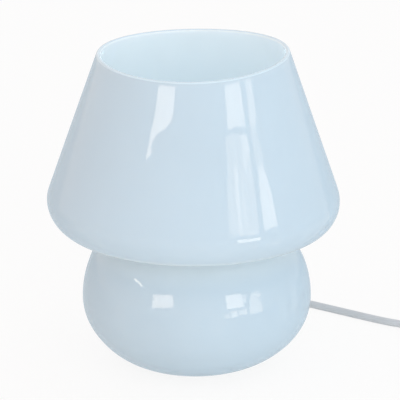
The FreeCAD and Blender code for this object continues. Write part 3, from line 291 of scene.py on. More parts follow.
@dataclass(frozen=True)
class OpalGlass(Finish):
    """Blown opal glass: milky all through, fire-polished, and gently wavy from the mould.

    The grain is the slow waves, which are longer up and down than round the glass.

    Attributes:
        neck_painted_light_colour: A paler colour painted where the glass is drawn in to the neck. It is
            painted light that lightens the shade in the crease under the shade's rim.
        neck_painted_light_heights: Where the painted light starts, is full, is full to the last, and ends.
    """

    roughness: float = 0.012
    patch: float = 0.006
    patch_scale: float = 14.0
    grain: float = 0.00006
    grain_scale: float = 26.0
    grain_detail: float = 1.5
    grain_stretch: tuple[float, float, float] = (1.0, 1.0, 0.35)
    glow: float = 0.4
    glow_depth: float = 0.006
    neck_painted_light_colour: Colour = (0.76, 0.86, 0.905)
    neck_painted_light_heights: tuple[float, float, float, float] = (0.074, 0.093, 0.100, 0.1045)

    def colour_nodes(self, tree: Tree, place: Socket) -> Socket:
        """Lets the colour stray a little, and paints light in as a paler colour towards the neck.

        Args:
            tree: The material's nodes.
            place: The piece's own coordinates.

        Returns:
            The colour's output.
        """
        plain = super().colour_nodes(tree, place)
        # painted light: a paler colour in the crease at the neck, where shade falls under the shade's rim
        split = tree.nodes.new("ShaderNodeSeparateXYZ")
        tree.links.new(place, split.inputs["Vector"])
        start, full, held, end = self.neck_painted_light_heights
        below = ramp(tree, split.outputs["Z"], (start, full), (0.0, 1.0), Slope.EASED)
        above = ramp(tree, split.outputs["Z"], (held, end), (1.0, 0.0), Slope.EASED)
        share = tree.nodes.new("ShaderNodeMath")
        share.operation = "MULTIPLY"
        tree.links.new(below, share.inputs[0])
        tree.links.new(above, share.inputs[1])
        mix = mixed(tree, share.outputs["Value"], self.colour, self.neck_painted_light_colour)
        tree.links.new(plain, mix.inputs["A"])
        return mix.outputs["Result"]


@dataclass(frozen=True)
class BrushedPlate(Finish):
    """Plated metal with the drawn-out marks of rolling along one way."""

    metallic: float = 1.0
    grain: float = 0.00002
    grain_detail: float = 3.0
    grain_strength: float = 0.6
    grain_stretch: tuple[float, float, float] = (0.08, 1.0, 1.0)


OPAL = OpalGlass("opal_glass", (0.60, 0.735, 0.83), patch=0.012)
# painted highlight: the lip, which faces up to the light, is given a paler colour
OPAL_LIP_HIGHLIGHT = OpalGlass("opal_glass_lip_highlight", (0.70, 0.86, 0.97))
# painted light: the inner skin is paler than the outside and glows in its own colour, standing in for light
# that comes through the wall
OPAL_INSIDE_GLOW = OpalGlass(
    "opal_glass_inside_glow", (0.77, 0.895, 0.98), roughness=0.03, glow=1.0, glow_depth=0.008, painted_glow=0.125
)
ZINC = BrushedPlate("zinc_plate", (0.62, 0.63, 0.64), roughness=0.34, grain_scale=1800.0)
BRASS = BrushedPlate("brass_strip", (0.66, 0.46, 0.17), roughness=0.3, grain_scale=1500.0)
NICKEL = BrushedPlate("nickel_plate", (0.68, 0.67, 0.64), roughness=0.22, grain=0.00001, grain_scale=2000.0)
CAP_METAL = BrushedPlate("bulb_cap_metal", (0.66, 0.66, 0.67), roughness=0.28, grain=0.00001)
SOLDER = Finish("bulb_solder", (0.52, 0.52, 0.52), metallic=1.0)
PAD_RUBBER = Finish("pad_rubber", (0.62, 0.62, 0.59), roughness=0.75, grain_scale=1500.0)
FOOT_RUBBER = Finish("foot_rubber", (0.68, 0.68, 0.66), roughness=0.7, grain_scale=1500.0)
HOLDER_PLASTIC = Finish("holder_plastic", (0.79, 0.79, 0.76), roughness=0.35, grain=0.00002)
HOLDER_CORE = Finish("holder_core", (0.74, 0.72, 0.66), roughness=0.25, coat=0.4)
BLACK_GLASS = Finish("bulb_black_glass", (0.012, 0.012, 0.015), roughness=0.12, patch=0.1)
FROSTED = Finish("bulb_frosted_glass", (0.84, 0.84, 0.83), roughness=0.45, patch=0.01, coat=0.3)
CORD_JACKET = Finish(
    "cord_jacket", (0.64, 0.67, 0.69), roughness=0.42, patch=0.04, grain=0.00003, grain_scale=1400.0
)
GROMMET_PLASTIC = Finish("grommet_plastic", (0.66, 0.68, 0.69))
BROWN_CORE = Finish("brown_core", (0.12, 0.045, 0.02))
BLUE_CORE = Finish("blue_core", (0.02, 0.07, 0.35))
TIE_PLASTIC = Finish("tie_plastic", (0.78, 0.78, 0.77), roughness=0.5, grain_scale=1200.0)
PLUG_PLASTIC = Finish("plug_plastic", (0.72, 0.73, 0.73), roughness=0.38, grain=0.00003)
SLEEVE_PLASTIC = Finish("sleeve_plastic", (0.02, 0.02, 0.022), roughness=0.45)
SWITCH_PLASTIC = Finish("switch_plastic", (0.76, 0.76, 0.75), roughness=0.32, grain=0.00002)
ROCKER_PLASTIC = Finish("rocker_plastic", (0.82, 0.82, 0.81), roughness=0.2, coat=0.3)

NODE_FINISHES: dict[Finish, tuple[str, ...]] = {
    ZINC: (
        "holder_bracket", "clamp_bar", "nipple", "nipple_nuts", "bar_washer", "cord_grip_screw",
        "switch_rocker_pin", "switch_screws", "switch_terminal_screws",
    ),
    BRASS: (
        "holder_terminals", "holder_screw_shell", "holder_centre_contact", "switch_contacts",
        "switch_moving_contact",
    ),
    NICKEL: ("plug_pins",),
    CAP_METAL: ("bulb_cap",),
    SOLDER: ("bulb_contact",),
    PAD_RUBBER: ("bracket_pads", "bar_pads"),
    FOOT_RUBBER: ("foot_ring",),
    HOLDER_PLASTIC: ("cord_grip", "holder_cap", "holder_shell", "switch_cord_clamps"),
    HOLDER_CORE: ("holder_insert",),
    BLACK_GLASS: ("bulb_insulator",),
    FROSTED: ("bulb_envelope",),
    CORD_JACKET: ("inner_cord",),
    GROMMET_PLASTIC: ("wall_grommet", "strain_relief"),
    BROWN_CORE: ("wire_live", "switch_wire_in", "switch_wire_out"),
    BLUE_CORE: ("wire_neutral", "switch_neutral_wire"),
    SLEEVE_PLASTIC: ("plug_pin_sleeves",),
}


# ---------------------------------------------------------------- camera
@dataclass(frozen=True)
class PhotographCamera:
    """The camera, where the photograph was taken from.

    Attributes:
        distance: From the point it looks at.
        elevation: Above the horizon, in degrees.
        lens: Focal length on the sensor, in millimetres.
        sensor: The sensor's width, in millimetres.
        clip: The nearest and farthest that it sees.
        aim: The point it looks at.
    """

    distance: float = 2.0
    elevation: float = 19.114
    lens: float = 263.17
    sensor: float = 36.0
    clip: Range = (0.01, 50.0)
    aim: Place = (0.0034, 0.0, 0.11504)

    def place(self) -> Piece:
        """Makes it and hands it to the scene.

        Returns:
            The camera.
        """
        data = bpy.data.cameras.new("photograph_camera")
        data.lens = self.lens
        data.sensor_width = self.sensor
        data.clip_start, data.clip_end = self.clip
        camera = bpy.data.objects.new("photograph_camera", data)
        rise = math.radians(self.elevation)
        back = Vector((0.0, -math.cos(rise), math.sin(rise)))
        camera.location = Vector(self.aim) + back * self.distance
        camera.rotation_mode = "QUATERNION"
        camera.rotation_quaternion = (-back).to_track_quat("-Z", "Y")
        bpy.context.scene.collection.objects.link(camera)
        bpy.context.scene.camera = camera
        return camera


# ---------------------------------------------------------------- helpers for pieces
WELD_DISTANCE = 0.000005
FLAT_ANGLE = math.radians(1.0)
EDGE_ANGLE = math.radians(35.0)
ROUNDING_SEGMENTS = 4


def new_piece(name: str, mesh: bpy.types.ID, finish: Finish, body: Body) -> Piece:
    """Links a finished piece and sets it riding.

    Args:
        name: The piece's name.
        mesh: Its mesh or curve.
        finish: Its finish.
        body: The CAD body that it moves with.

    Returns:
        The piece.
    """
    piece = bpy.data.objects.new(name, mesh)
    bpy.context.scene.collection.objects.link(piece)
    if len(mesh.materials):
        mesh.materials[0] = finish.material()
    else:
        mesh.materials.append(finish.material())
    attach(piece, body.value)
    LOG.info("made %s", name)
    return piece


def softened(node: str, name: str, width: float, finish: Finish, body: Body, slot: str) -> Piece:
    """Stands a copy of a CAD piece in for it, with its edges rounded over.

    Args:
        node: The CAD node.
        name: The new piece's name.
        width: How wide the rounding is.
        finish: Its finish.
        body: The CAD body that it moves with.
        slot: The record's material slot; not used.

    Returns:
        The piece.
    """
    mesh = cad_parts[node].data.copy()
    mesh.name = name
    work = bmesh.new()
    work.from_mesh(mesh)
    bmesh.ops.remove_doubles(work, verts=work.verts, dist=WELD_DISTANCE)
    bmesh.ops.dissolve_limit(
        work, angle_limit=FLAT_ANGLE, verts=work.verts, edges=work.edges, delimit={"NORMAL"}
    )
    work.to_mesh(mesh)
    work.free()
    piece = new_piece(name, mesh, finish, body)
    rounding = piece.modifiers.new("rounding", "BEVEL")
    rounding.width = width
    rounding.segments = ROUNDING_SEGMENTS
    rounding.limit_method = "ANGLE"
    rounding.angle_limit = EDGE_ANGLE
    rounding.use_clamp_overlap = True
    for polygon in mesh.polygons:
        polygon.use_smooth = True
    piece.modifiers.new("flat_faces", "WEIGHTED_NORMAL").keep_sharp = True
    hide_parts(node)
    return piece


# ---------------------------------------------------------------- mains lead
@dataclass(frozen=True)
class MainsLead:
    """The lead from the strain relief through the switch, round its coil and on to the plug.

    Attributes:
        diameter: The jacket's diameter.
        real_length: The lead's length.
        to_switch: The route from the lamp into the switch.
        through_switch: The route under the switch's moving contact.
        to_coil: The route from the switch to the coil.
        to_plug: The route from the coil to the plug.
        coil_centre: The middle of the coil on the table.
        outer_radius: The coil's radius where the lead comes in.
        spacing: From turn to turn, and from layer to layer.
        laps: The turns of each layer, apart from the climb between them.
        climb: The turns that the climb takes.
        low_height: The lower layer's height.
        start_angle: The bearing where the lead comes in, in degrees.
        points_per_turn: Route points to each turn.
        facets: Curve steps and bevel steps between route points.
    """

    diameter: float = 0.0052
    real_length: float = 1.8
    to_switch: Route = (
        (-0.02383, 0.08894, 0.01219),
        (-0.02761, 0.10305, 0.0027),
        (-0.03021, 0.11445, 0.0027),
        (-0.02351, 0.13175, 0.0027),
        (-0.00751, 0.14255, 0.0027),
        (0.01149, 0.14225, 0.0027),
        (0.034, 0.1275, 0.0027),
        (0.058, 0.1103, 0.0027),
        (0.098, 0.0839, 0.0027),
        (0.146, 0.0518, 0.0027),
        (0.16649, 0.03908, 0.007),
        (0.18961, 0.02418, 0.007),
    )
    through_switch: Route = (
        (0.19844, 0.01849, 0.0046),
        (0.20726, 0.01281, 0.0046),
        (0.21609, 0.00712, 0.0046),
    )
    to_coil: Route = (
        (0.22491, 0.00143, 0.007),
        (0.24088, -0.00886, 0.007),
        (0.25181, -0.0159, 0.0033),
    )
    to_plug: Route = (
        (0.29274, 0.05339, 0.0091),
        (0.26912, 0.07021, 0.00685),
        (0.25771, 0.07833, 0.00685),
    )
    coil_centre: tuple[float, float] = (0.286887, 0.008766)
    outer_radius: float = 0.03975
    spacing: float = 0.0058
    laps: float = 3.5
    climb: float = 0.5
    low_height: float = 0.0033
    start_angle: float = -124.13
    points_per_turn: int = 16
    facets: int = 6

    def coil_turns(self) -> list[Vector]:
        """The coil: in along the lower layer, up in half a turn and out along the upper one.

        Returns:
            Its route points, in order.
        """
        points = []
        inner = self.outer_radius - self.spacing * self.laps
        swell = 1.0 / math.cos(math.pi / self.points_per_turn)
        total = round((2.0 * self.laps + self.climb) * self.points_per_turn)
        for step in range(total):
            turns = (step + 0.5) / self.points_per_turn
            part = turns - self.laps
            risen = min(max(part / self.climb, 0.0), 1.0)
            if part <= 0.0:
                radius = self.outer_radius - self.spacing * turns
            elif part < self.climb:
                radius = inner - self.spacing * part + 2.0 * self.spacing * part**2
            else:
                radius = inner + self.spacing * (part - self.climb)
            height = self.low_height + self.spacing * (3.0 * risen**2 - 2.0 * risen**3)
            angle = math.radians(self.start_angle) + 2.0 * math.pi * turns
            across = self.coil_centre[0] + radius * swell * math.cos(angle)
            along = self.coil_centre[1] + radius * swell * math.sin(angle)
            points.append(Vector((across, along, height)))
        return points

    def build(self) -> Piece:
        """Lays the lead as one smooth curve.

        Returns:
            The lead.
        """
        route = [Vector(point) for point in self.to_switch + self.through_switch + self.to_coil]
        route += self.coil_turns()
        route += [Vector(point) for point in self.to_plug]
        curve = bpy.data.curves.new("mains_lead", "CURVE")
        curve.dimensions = "3D"
        spline = curve.splines.new("NURBS")
        spline.points.add(len(route) - 1)
        for point, place in zip(spline.points, route):
            point.co = (*place, 1.0)
        spline.order_u = 3
        spline.use_endpoint_u = True
        spline.resolution_u = self.facets
        spline.use_smooth = True
        curve.bevel_depth = self.diameter / 2.0
        curve.bevel_resolution = self.facets
        curve.use_fill_caps = True
        lead = new_piece("mains_lead", curve, CORD_JACKET, Body.LAMP)
        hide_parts("lead_to_switch", "lead_to_coil", "cord_coil", "plug_lead")
        return lead


@dataclass(frozen=True)
class LeadFittings:
    """The switch, plug and tie on the lead.

    Attributes:
        case_rounding: The rounding of the switch's case.
        rocker_rounding: The rounding of its rocker.
        plug_rounding: The rounding of the plug.
        tie_rounding: The rounding of the coil's tie.
        kept: The CAD pieces on the lead that stay as they are.
    """

    case_rounding: float = 0.0012
    rocker_rounding: float = 0.0006
    plug_rounding: float = 0.0022
    tie_rounding: float = 0.0002
    kept: tuple[str, ...] = (
        "plug_pins", "plug_pin_sleeves", "switch_rocker_pin", "switch_screws", "switch_cord_clamps",
        "switch_contacts", "switch_moving_contact", "switch_terminal_screws", "switch_neutral_wire",
        "switch_wire_in", "switch_wire_out",
    )

    def build(self) -> list[Piece]:
        """Rounds over the moulded pieces and gathers all that is on the lead.

        Returns:
            Every piece on the lead.
        """
        case = (self.case_rounding, SWITCH_PLASTIC, Body.LAMP, "switch_plastic")
        rocker = (self.rocker_rounding, ROCKER_PLASTIC, Body.ROCKER, "rocker_plastic")
        plug = (self.plug_rounding, PLUG_PLASTIC, Body.LAMP, "plug_plastic")
        tie = (self.tie_rounding, TIE_PLASTIC, Body.LAMP, "tie_plastic")
        pieces = [
            softened("switch_lower_housing", "switch_case_lower", *case),
            softened("switch_upper_cover", "switch_case_upper", *case),
            softened("switch_rocker", "switch_rocker_cap", *rocker),
            softened("plug_body", "plug_shell", *plug),
            softened("coil_tie", "coil_band", *tie),
        ]
        return pieces + [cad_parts[name] for name in self.kept]


# ---------------------------------------------------------------- glass
def part_way(value: float, start: float, stop: float) -> float:
    """How far a value has come from start to stop, from 0 to 1."""
    return min(max((value - start) / (stop - start), 0.0), 1.0)


@dataclass(frozen=True)
class Arc:
    """An arc of the glass outline, in radius and height. One that turns clockwise is a hollow.

    Attributes:
        centre: Its centre.
        radius: Its radius.
        start: Where it starts, in degrees from the outward horizontal.
        stop: Where it stops.
    """

    centre: tuple[float, float]
    radius: float
    start: float
    stop: float

    def deeper(self, depth: float) -> "Arc":
        """The arc that lies some way inside the glass from this one.

        Args:
            depth: How far inside.

        Returns:
            The arc.
        """
        hollow = self.stop < self.start
        return replace(self, radius=self.radius + depth if hollow else self.radius - depth)

    def points(self, spacing: float = 0.0012) -> Outline:
        """Points along it.

        Args:
            spacing: About how far apart they are.

        Returns:
            The points, both ends included.
        """
        sweep = math.radians(self.stop - self.start)
        count = max(3, round(abs(sweep) * self.radius / spacing))
        outline = []
        for step in range(count + 1):
            angle = math.radians(self.start + (self.stop - self.start) * step / count)
            across, up = self.radius * math.cos(angle), self.radius * math.sin(angle)
            outline.append((self.centre[0] + across, self.centre[1] + up))
        return outline


@dataclass(frozen=True)
class OpalBody:
    """The blown glass: base, neck and shade in one skin, open above and below.

    Attributes:
        wall: The thickness of the glass.
        foot_height: Where the glass stands on its foot ring.
        bore: The radius of the hole in the base.
        belly_centre: The middle of the arc under the base.
        belly_radius: That arc's radius.
        profile: The outer face from the belly to the foot of the flank. Its last arc stops at the
            flank's lean.
        flank_steps: How many steps there are up the flank.
        lip_centre: The middle of the lip's rounding.
        lip_spacing: How far apart the lip's points are.
        lip_overlap: Points past the top of the lip that still belong to it.
        lip_height: Where the lip's rounding starts on the outside.
        least_gap: Points nearer than this are left out.
        rim_height: The height of the rim as it was designed.
        rim_sag: How far the real rim stands under that, on average.
        rim_tilt: How far the rim tips to the right.
        rim_saddle: How far the rim is lifted at the sides and let down at front and back.
        rim_start: The height where the rim's unevenness starts.
        rim_power: How sharply it comes in.
        shade_shift: How far the shade leans over to one side.
        base_shift: How far the base stands over to the other.
        shift_change: The heights between which one shift turns into the other.
        shift_start: The height by which the base's shift is full.
        segments: Facets round the glass.
    """

    wall: float = 0.003
    foot_height: float = 0.0012
    bore: float = 0.033
    belly_centre: tuple[float, float] = (0.026157, 0.054998)
    belly_radius: float = 0.055
    profile: tuple[Arc, ...] = (
        Arc((0.040300, 0.046500), 0.0385, -31.0, 0.0),
        Arc((0.010900, 0.046500), 0.0679, 0.0, 39.7),
        Arc((0.040060, 0.070709), 0.0300, 39.7, 73.001343),
        Arc((0.050000, 0.103224), 0.0040, 253.001343, 69.254),
        Arc((0.079910, 0.138945), 0.0400, -110.746, -73.9),
        Arc((0.089477, 0.105798), 0.0055, -73.9, -50.7),
        Arc((0.080800, 0.116400), 0.0192, -50.7, 19.1),
    )
    flank_steps: int = 24
    lip_centre: tuple[float, float] = (0.063830, 0.2195)
    lip_spacing: float = 0.0004
    lip_overlap: int = 2
    lip_height: float = 0.2198
    least_gap: float = 0.00008
    rim_height: float = 0.221
    rim_sag: float = 0.0013
    rim_tilt: float = 0.0011
    rim_saddle: float = 0.0012
    rim_start: float = 0.125
    rim_power: float = 1.5
    shade_shift: float = -0.0013
    base_shift: float = 0.0012
    shift_change: Range = (0.070, 0.120)
    shift_start: float = 0.020
    segments: int = 192

    def skin(self, depth: float) -> Outline:
        """The outline from the base to the shade's flank, some way inside the outer face.

        Args:
            depth: How far inside.

        Returns:
            The outline's points.
        """
        return [point for arc in self.profile for point in arc.deeper(depth).points()]

    def outline(self) -> Outline:
        """The closed section of the glass, anticlockwise from the foot's inner edge.

        Returns:
            The section's points.
        """
        belly_end, lean = self.profile[0].start, self.profile[-1].stop
        inner_radius = self.belly_radius - self.wall
        fall = self.belly_centre[1] - self.foot_height
        outer_start = -math.degrees(math.asin(fall / self.belly_radius))
        inner_start = -math.degrees(math.acos((self.bore - self.belly_centre[0]) / inner_radius))
        outside = Arc(self.belly_centre, self.belly_radius, outer_start, belly_end).points()
        outside += self.skin(0.0)
        inside = Arc(self.belly_centre, inner_radius, inner_start, belly_end).points()
        inside += self.skin(self.wall)
        lip = Arc(self.lip_centre, self.wall / 2.0, lean, lean + 180.0).points(self.lip_spacing)
        section = outside + self.flank(outside[-1], lip[0]) + lip + inside[::-1]
        section.append((self.bore, self.foot_height))
        return self.thinned(section)

    def flank(self, start: tuple[float, float], stop: tuple[float, float]) -> Outline:
        """Evenly spaced points up the straight flank of the shade.

        Args:
            start: The flank's lower end.
            stop: Its upper end.

        Returns:
            The points between the two.
        """
        run, rise = stop[0] - start[0], stop[1] - start[1]
        shares = [step / self.flank_steps for step in range(1, self.flank_steps)]
        return [(start[0] + run * share, start[1] + rise * share) for share in shares]

    def thinned(self, section: Outline) -> Outline:
        """Leaves out points that lie on the one before them.

        Args:
            section: The section's points.

        Returns:
            The points that are left.
        """
        kept = [section[0]]
        for point in section[1:]:
            if math.dist(point, kept[-1]) > self.least_gap:
                kept.append(point)
        return kept

    def settle(self, radius: float, height: float, angle: float) -> Vector:
        """Where a point of the section comes out on the real, slightly uneven glass.

        Args:
            radius: The point's radius.
            height: The point's height.
            angle: Its bearing from +X.

        Returns:
            The point.
        """
        share = part_way(height, self.rim_start, self.rim_height) ** self.rim_power
        rim = self.rim_tilt * math.cos(angle) + self.rim_saddle * math.cos(2.0 * angle) - self.rim_sag
        blend = part_way(height, *self.shift_change)
        shift = self.base_shift + (self.shade_shift - self.base_shift) * blend
        shift *= part_way(height, 0.0, self.shift_start)
        return Vector((radius * math.cos(angle) + shift, radius * math.sin(angle), height + rim * share))

    def build(self) -> Piece:
        """Turns the section round and stands it in for the CAD glass.

        Returns:
            The glass.
        """
        section = self.outline()
        heights = [height for _, height in section]
        top = heights.index(max(heights))
        lip_start = next(index for index, height in enumerate(heights) if height > self.lip_height)
        work = bmesh.new()
        rings = []
        for step in range(self.segments):
            angle = 2.0 * math.pi * step / self.segments
            rings.append([work.verts.new(self.settle(r, z, angle)) for r, z in section])
        for here, after in zip(rings, rings[1:] + rings[:1]):
            for index in range(len(section)):
                following = (index + 1) % len(section)
                face = work.faces.new((here[index], after[index], after[following], here[following]))
                # the inner faces take the paler, glowing finish: painted light
                if index > top + self.lip_overlap:
                    face.material_index = GlassZone.INSIDE.value
                # the lip's faces take the paler finish: a painted highlight
                elif index >= lip_start:
                    face.material_index = GlassZone.LIP.value
        bmesh.ops.recalc_face_normals(work, faces=work.faces)
        for face in work.faces:
            face.smooth = True
        mesh = bpy.data.meshes.new("opal_body")
        work.to_mesh(mesh)
        work.free()
        glass = new_piece("opal_body", mesh, OPAL, Body.LAMP)
        mesh.materials.append(OPAL_INSIDE_GLOW.material())
        mesh.materials.append(OPAL_LIP_HIGHLIGHT.material())
        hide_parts("glass_body")
        return glass


# ---------------------------------------------------------------- what shows in the gloss
def bearings(bearing: float) -> tuple[Vector, Vector]:
    """The outward and the sideways direction at a bearing.

    Args:
        bearing: The bearing, in degrees from the front towards +X.

    Returns:
        The outward direction, and the one that points further round towards +X.
    """
    turn = math.radians(bearing)
    out = Vector((math.sin(turn), -math.cos(turn), 0.0))
    return out, Vector((math.cos(turn), math.sin(turn), 0.0))


def gloss_card(
    name: str, corners: list[Vector], faces: list[tuple[int, ...]], colour: Colour, strength: float = 1.0
) -> Piece:
    """Stages a glowing card that shows in reflections and nowhere else.

    Args:
        name: Its name.
        corners: Its corners.
        faces: Its faces, by the numbers of their corners.
        colour: The colour of its light.
        strength: How bright it is, 1 being white.

    Returns:
        The card.
    """
    material = bpy.data.materials.new(name + "_light")
    material.use_nodes = True
    tree = material.node_tree
    tree.nodes.remove(tree.nodes["Principled BSDF"])
    light = tree.nodes.new("ShaderNodeEmission")
    light.inputs["Color"].default_value = (*colour, 1.0)
    light.inputs["Strength"].default_value = strength
    tree.links.new(light.outputs["Emission"], tree.nodes["Material Output"].inputs["Surface"])
    mesh = bpy.data.meshes.new(name)
    mesh.from_pydata(corners, [], faces)
    mesh.materials.append(material)
    card = bpy.data.objects.new(name, mesh)
    bpy.context.scene.collection.objects.link(card)
    card.visible_camera = False
    card.visible_diffuse = False
    card.visible_shadow = False
    card.visible_transmission = False
    return card


@dataclass(frozen=True)
class WindowPane:
    """A bright pane beside the lamp, which shows in the glass as a window does.

    Attributes:
        name: Its name.
        bearing: Which way it stands, in degrees from the front towards +X.
        distance: How far from the lamp's axis.
        strength: How bright it is.
        outline: Its corners, across and up.
        tint: The colour of its light.
    """

    name: str
    bearing: float
    distance: float
    strength: float
    outline: tuple[tuple[float, float], ...]
    tint: Colour = (1.0, 0.86, 0.74)

    def hang(self) -> Piece:
        """Makes the pane, seen only in reflections.

        Returns:
            The pane.
        """
        out, side = bearings(self.bearing)
        corners = [out * self.distance + side * across + UP * up for across, up in self.outline]
        return gloss_card(self.name, corners, [tuple(range(len(corners)))], self.tint, self.strength)


# How far the room's windows and the base's own panes stand from the lamp's axis.
FAR, NEAR = 3.0, 0.19
PANES = (
    WindowPane("left_window", -33.0, FAR, 5.4, (
        (-0.301, 1.6), (0.672, 1.7), (0.627, 1.369), (0.483, 1.334), (0.301, 1.298), (-0.039, 1.249),
        (-0.273, 1.214), (-0.374, 1.194), (-0.405, 1.179), (-0.289, 1.179), (-0.394, 1.162),
        (-0.594, 1.134), (-0.564, 1.162), (-0.497, 1.211), (-0.38, 1.27),
    )),
    WindowPane("right_window_top", 47.0, FAR, 4.6, (
        (-0.559, 1.5), (0.363, 1.44), (0.371, 1.114), (0.317, 1.101), (-0.588, 1.244), (-0.645, 1.266),
    )),
    WindowPane("right_window_low", 42.0, FAR, 2.7, (
        (-0.572, 1.257), (0.272, 1.135), (0.605, 1.095), (0.631, 1.05), (0.614, 0.985), (0.554, 0.914),
        (0.465, 0.776), (-0.744, 1.011), (-0.721, 1.091), (-0.704, 1.143), (-0.564, 1.197),
    )),
    WindowPane("right_window_gap", 42.0, 2.98, 4.2, (
        (0.246, 1.133), (0.632, 1.086), (0.64, 1.053), (0.527, 1.043), (0.264, 1.057), (0.223, 1.072),
        (0.269, 1.097),
    )),
    WindowPane("right_window_slit", 42.0, 2.96, 4.4, (
        (-0.255, 1.127), (-0.073, 1.1), (-0.149, 1.065), (-0.151, 1.017), (-0.198, 0.6), (-0.316, 0.6),
        (-0.297, 1.038), (-0.295, 1.086),
    )),
    WindowPane("right_window_slit_2", 42.0, 2.96, 3.4, (
        (0.012, 1.059), (0.095, 1.047), (0.085, 1.011), (0.095, 0.96), (0.039, 0.6), (-0.064, 0.6),
        (-0.04, 0.977), (-0.021, 1.025),
    )),
    WindowPane("right_window_slit_3", 42.0, 2.96, 2.9, (
        (-0.461, 1.177), (-0.362, 1.161), (-0.45, 1.111), (-0.486, 1.047), (-0.538, 0.7), (-0.635, 0.747),
        (-0.596, 1.077), (-0.56, 1.129),
    )),
    WindowPane("right_window_sill", 42.0, 2.94, 4.2, (
        (0.121, 0.88), (0.479, 0.837), (0.427, 0.6), (0.082, 0.6),
    )),
    WindowPane("side_window_top", 62.0, FAR, 3.7, (
        (-0.11, 1.35), (0.343, 1.29), (0.33, 0.996), (0.301, 0.977), (0.113, 0.984), (-0.2, 1.047),
        (-0.121, 1.072), (-0.071, 1.084),
    )),
    WindowPane("side_window_middle", 61.0, FAR, 2.3, (
        (-0.15, 1.046), (0.18, 0.981), (0.354, 0.894), (-0.135, 0.965),
    )),
    WindowPane("side_window_low", 60.0, FAR, 4.4, (
        (-0.016, 0.95), (0.263, 0.914), (0.333, 0.878), (0.424, 0.823), (0.454, 0.77), (0.439, 0.6),
        (-0.212, 0.6), (-0.177, 0.867), (-0.142, 0.909), (-0.079, 0.934),
    )),
    WindowPane("low_left_pane", -33.0, NEAR, 5.6, (
        (-0.015, 0.112), (0.0, 0.114), (0.014, 0.117), (0.028, 0.12), (0.043, 0.123), (0.045, 0.11),
        (0.047, 0.098), (0.048, 0.086), (0.036, 0.083), (0.025, 0.081), (0.013, 0.079), (0.001, 0.076),
        (-0.011, 0.073), (-0.012, 0.087), (-0.013, 0.101),
    )),
    WindowPane("low_right_pane", 42.0, NEAR, 5.6, (
        (-0.058, 0.127), (-0.045, 0.125), (-0.033, 0.124), (-0.022, 0.123), (-0.01, 0.122), (-0.011, 0.105),
        (-0.011, 0.089), (-0.01, 0.076), (-0.022, 0.077), (-0.034, 0.078), (-0.046, 0.078), (-0.058, 0.079),
        (-0.058, 0.093), (-0.059, 0.109),
    )),
    WindowPane("low_side_pane", 63.0, NEAR, 3.6, (
        (-0.056, 0.099), (-0.04, 0.099), (-0.036, 0.088), (-0.031, 0.079), (-0.027, 0.069), (-0.023, 0.059),
        (-0.027, 0.048), (-0.039, 0.049), (-0.05, 0.049), (-0.059, 0.05), (-0.067, 0.051), (-0.065, 0.063),
        (-0.063, 0.075), (-0.06, 0.087),
    )),
    WindowPane("table_edge_left", 42.0, NEAR, 3.2, (
        (-0.076, 0.059), (-0.065, 0.062), (-0.053, 0.066), (-0.052, 0.058), (-0.052, 0.05), (-0.062, 0.048),
        (-0.073, 0.046),
    )),
    WindowPane("table_edge_middle", 42.0, NEAR, 4.2, (
        (-0.048, 0.068), (-0.039, 0.069), (-0.031, 0.069), (-0.031, 0.061), (-0.03, 0.052), (-0.039, 0.051),
        (-0.048, 0.05), (-0.048, 0.059),
    )),
    WindowPane("table_edge_right", 42.0, NEAR, 3.8, (
        (-0.025, 0.069), (-0.014, 0.069), (-0.003, 0.068), (-0.001, 0.054), (-0.013, 0.054),
        (-0.024, 0.053), (-0.025, 0.061),
    )),
    WindowPane("curtain_rod_glint", -66.0, NEAR, 7.0, (
        (0.014, 0.136), (0.02, 0.141), (0.057, 0.132), (0.053, 0.123),
    )),
)


@dataclass(frozen=True)
class WhiteBand:
    """An upright curved band round the lamp, which keeps the panes behind it out of part of the glass.

    Attributes:
        name: Its name.
        radius: How far it stands from the lamp's axis.
        heights: Its lower and upper edge.
        reach: Where it starts and ends, in degrees from the front towards +X.
        facets: How many flat faces it has.
    """

    name: str
    radius: float
    heights: Range
    reach: Range
    facets: int = 48

    def hang(self) -> Piece:
        """Makes the band, seen only in reflections.

        Returns:
            The band.
        """
        first, last = self.reach
        corners = []
        for step in range(self.facets + 1):
            out, _ = bearings(first + (last - first) * step / self.facets)
            corners += [out * self.radius + UP * height for height in self.heights]
        faces = [(2 * step, 2 * step + 2, 2 * step + 3, 2 * step + 1) for step in range(self.facets)]
        return gloss_card(self.name, corners, faces, WHITE)


@dataclass(frozen=True)
class WhiteFringe:
    """Upright strips that follow the lamp's outline, which keep the panes off its edges.

    Attributes:
        name: Its name.
        bearing: Where it stands, in degrees from the front towards +X.
        distance: How far it stands from the lamp's axis.
        sides: Which side each strip is on, 1 being the side that lies further round towards +X.
        outline: Height, inner edge and outer edge at each step, from the bottom up.
    """

    name: str
    bearing: float
    distance: float = 0.13
    sides: tuple[float, ...] = (-1.0, 1.0)
    outline: tuple[tuple[float, float, float], ...] = (
        (0.020, 0.055, 0.092),
        (0.105, 0.056, 0.092),
        (0.125, 0.070, 0.113),
        (0.160, 0.072, 0.112),
        (0.200, 0.060, 0.108),
        (0.240, 0.050, 0.094),
        (0.285, 0.045, 0.075),
    )

    def hang(self) -> Piece:
        """Makes the strips, seen only in reflections.

        Returns:
            The strips, as one object.
        """
        out, across = bearings(self.bearing)
        corners, faces = [], []
        for side in self.sides:
            start = len(corners)
            for height, *widths in self.outline:
                corners += [out * self.distance + across * side * width + UP * height for width in widths]
            for first in range(start, len(corners) - 2, 2):
                faces.append((first, first + 1, first + 3, first + 2))
        return gloss_card(self.name, corners, faces, WHITE)


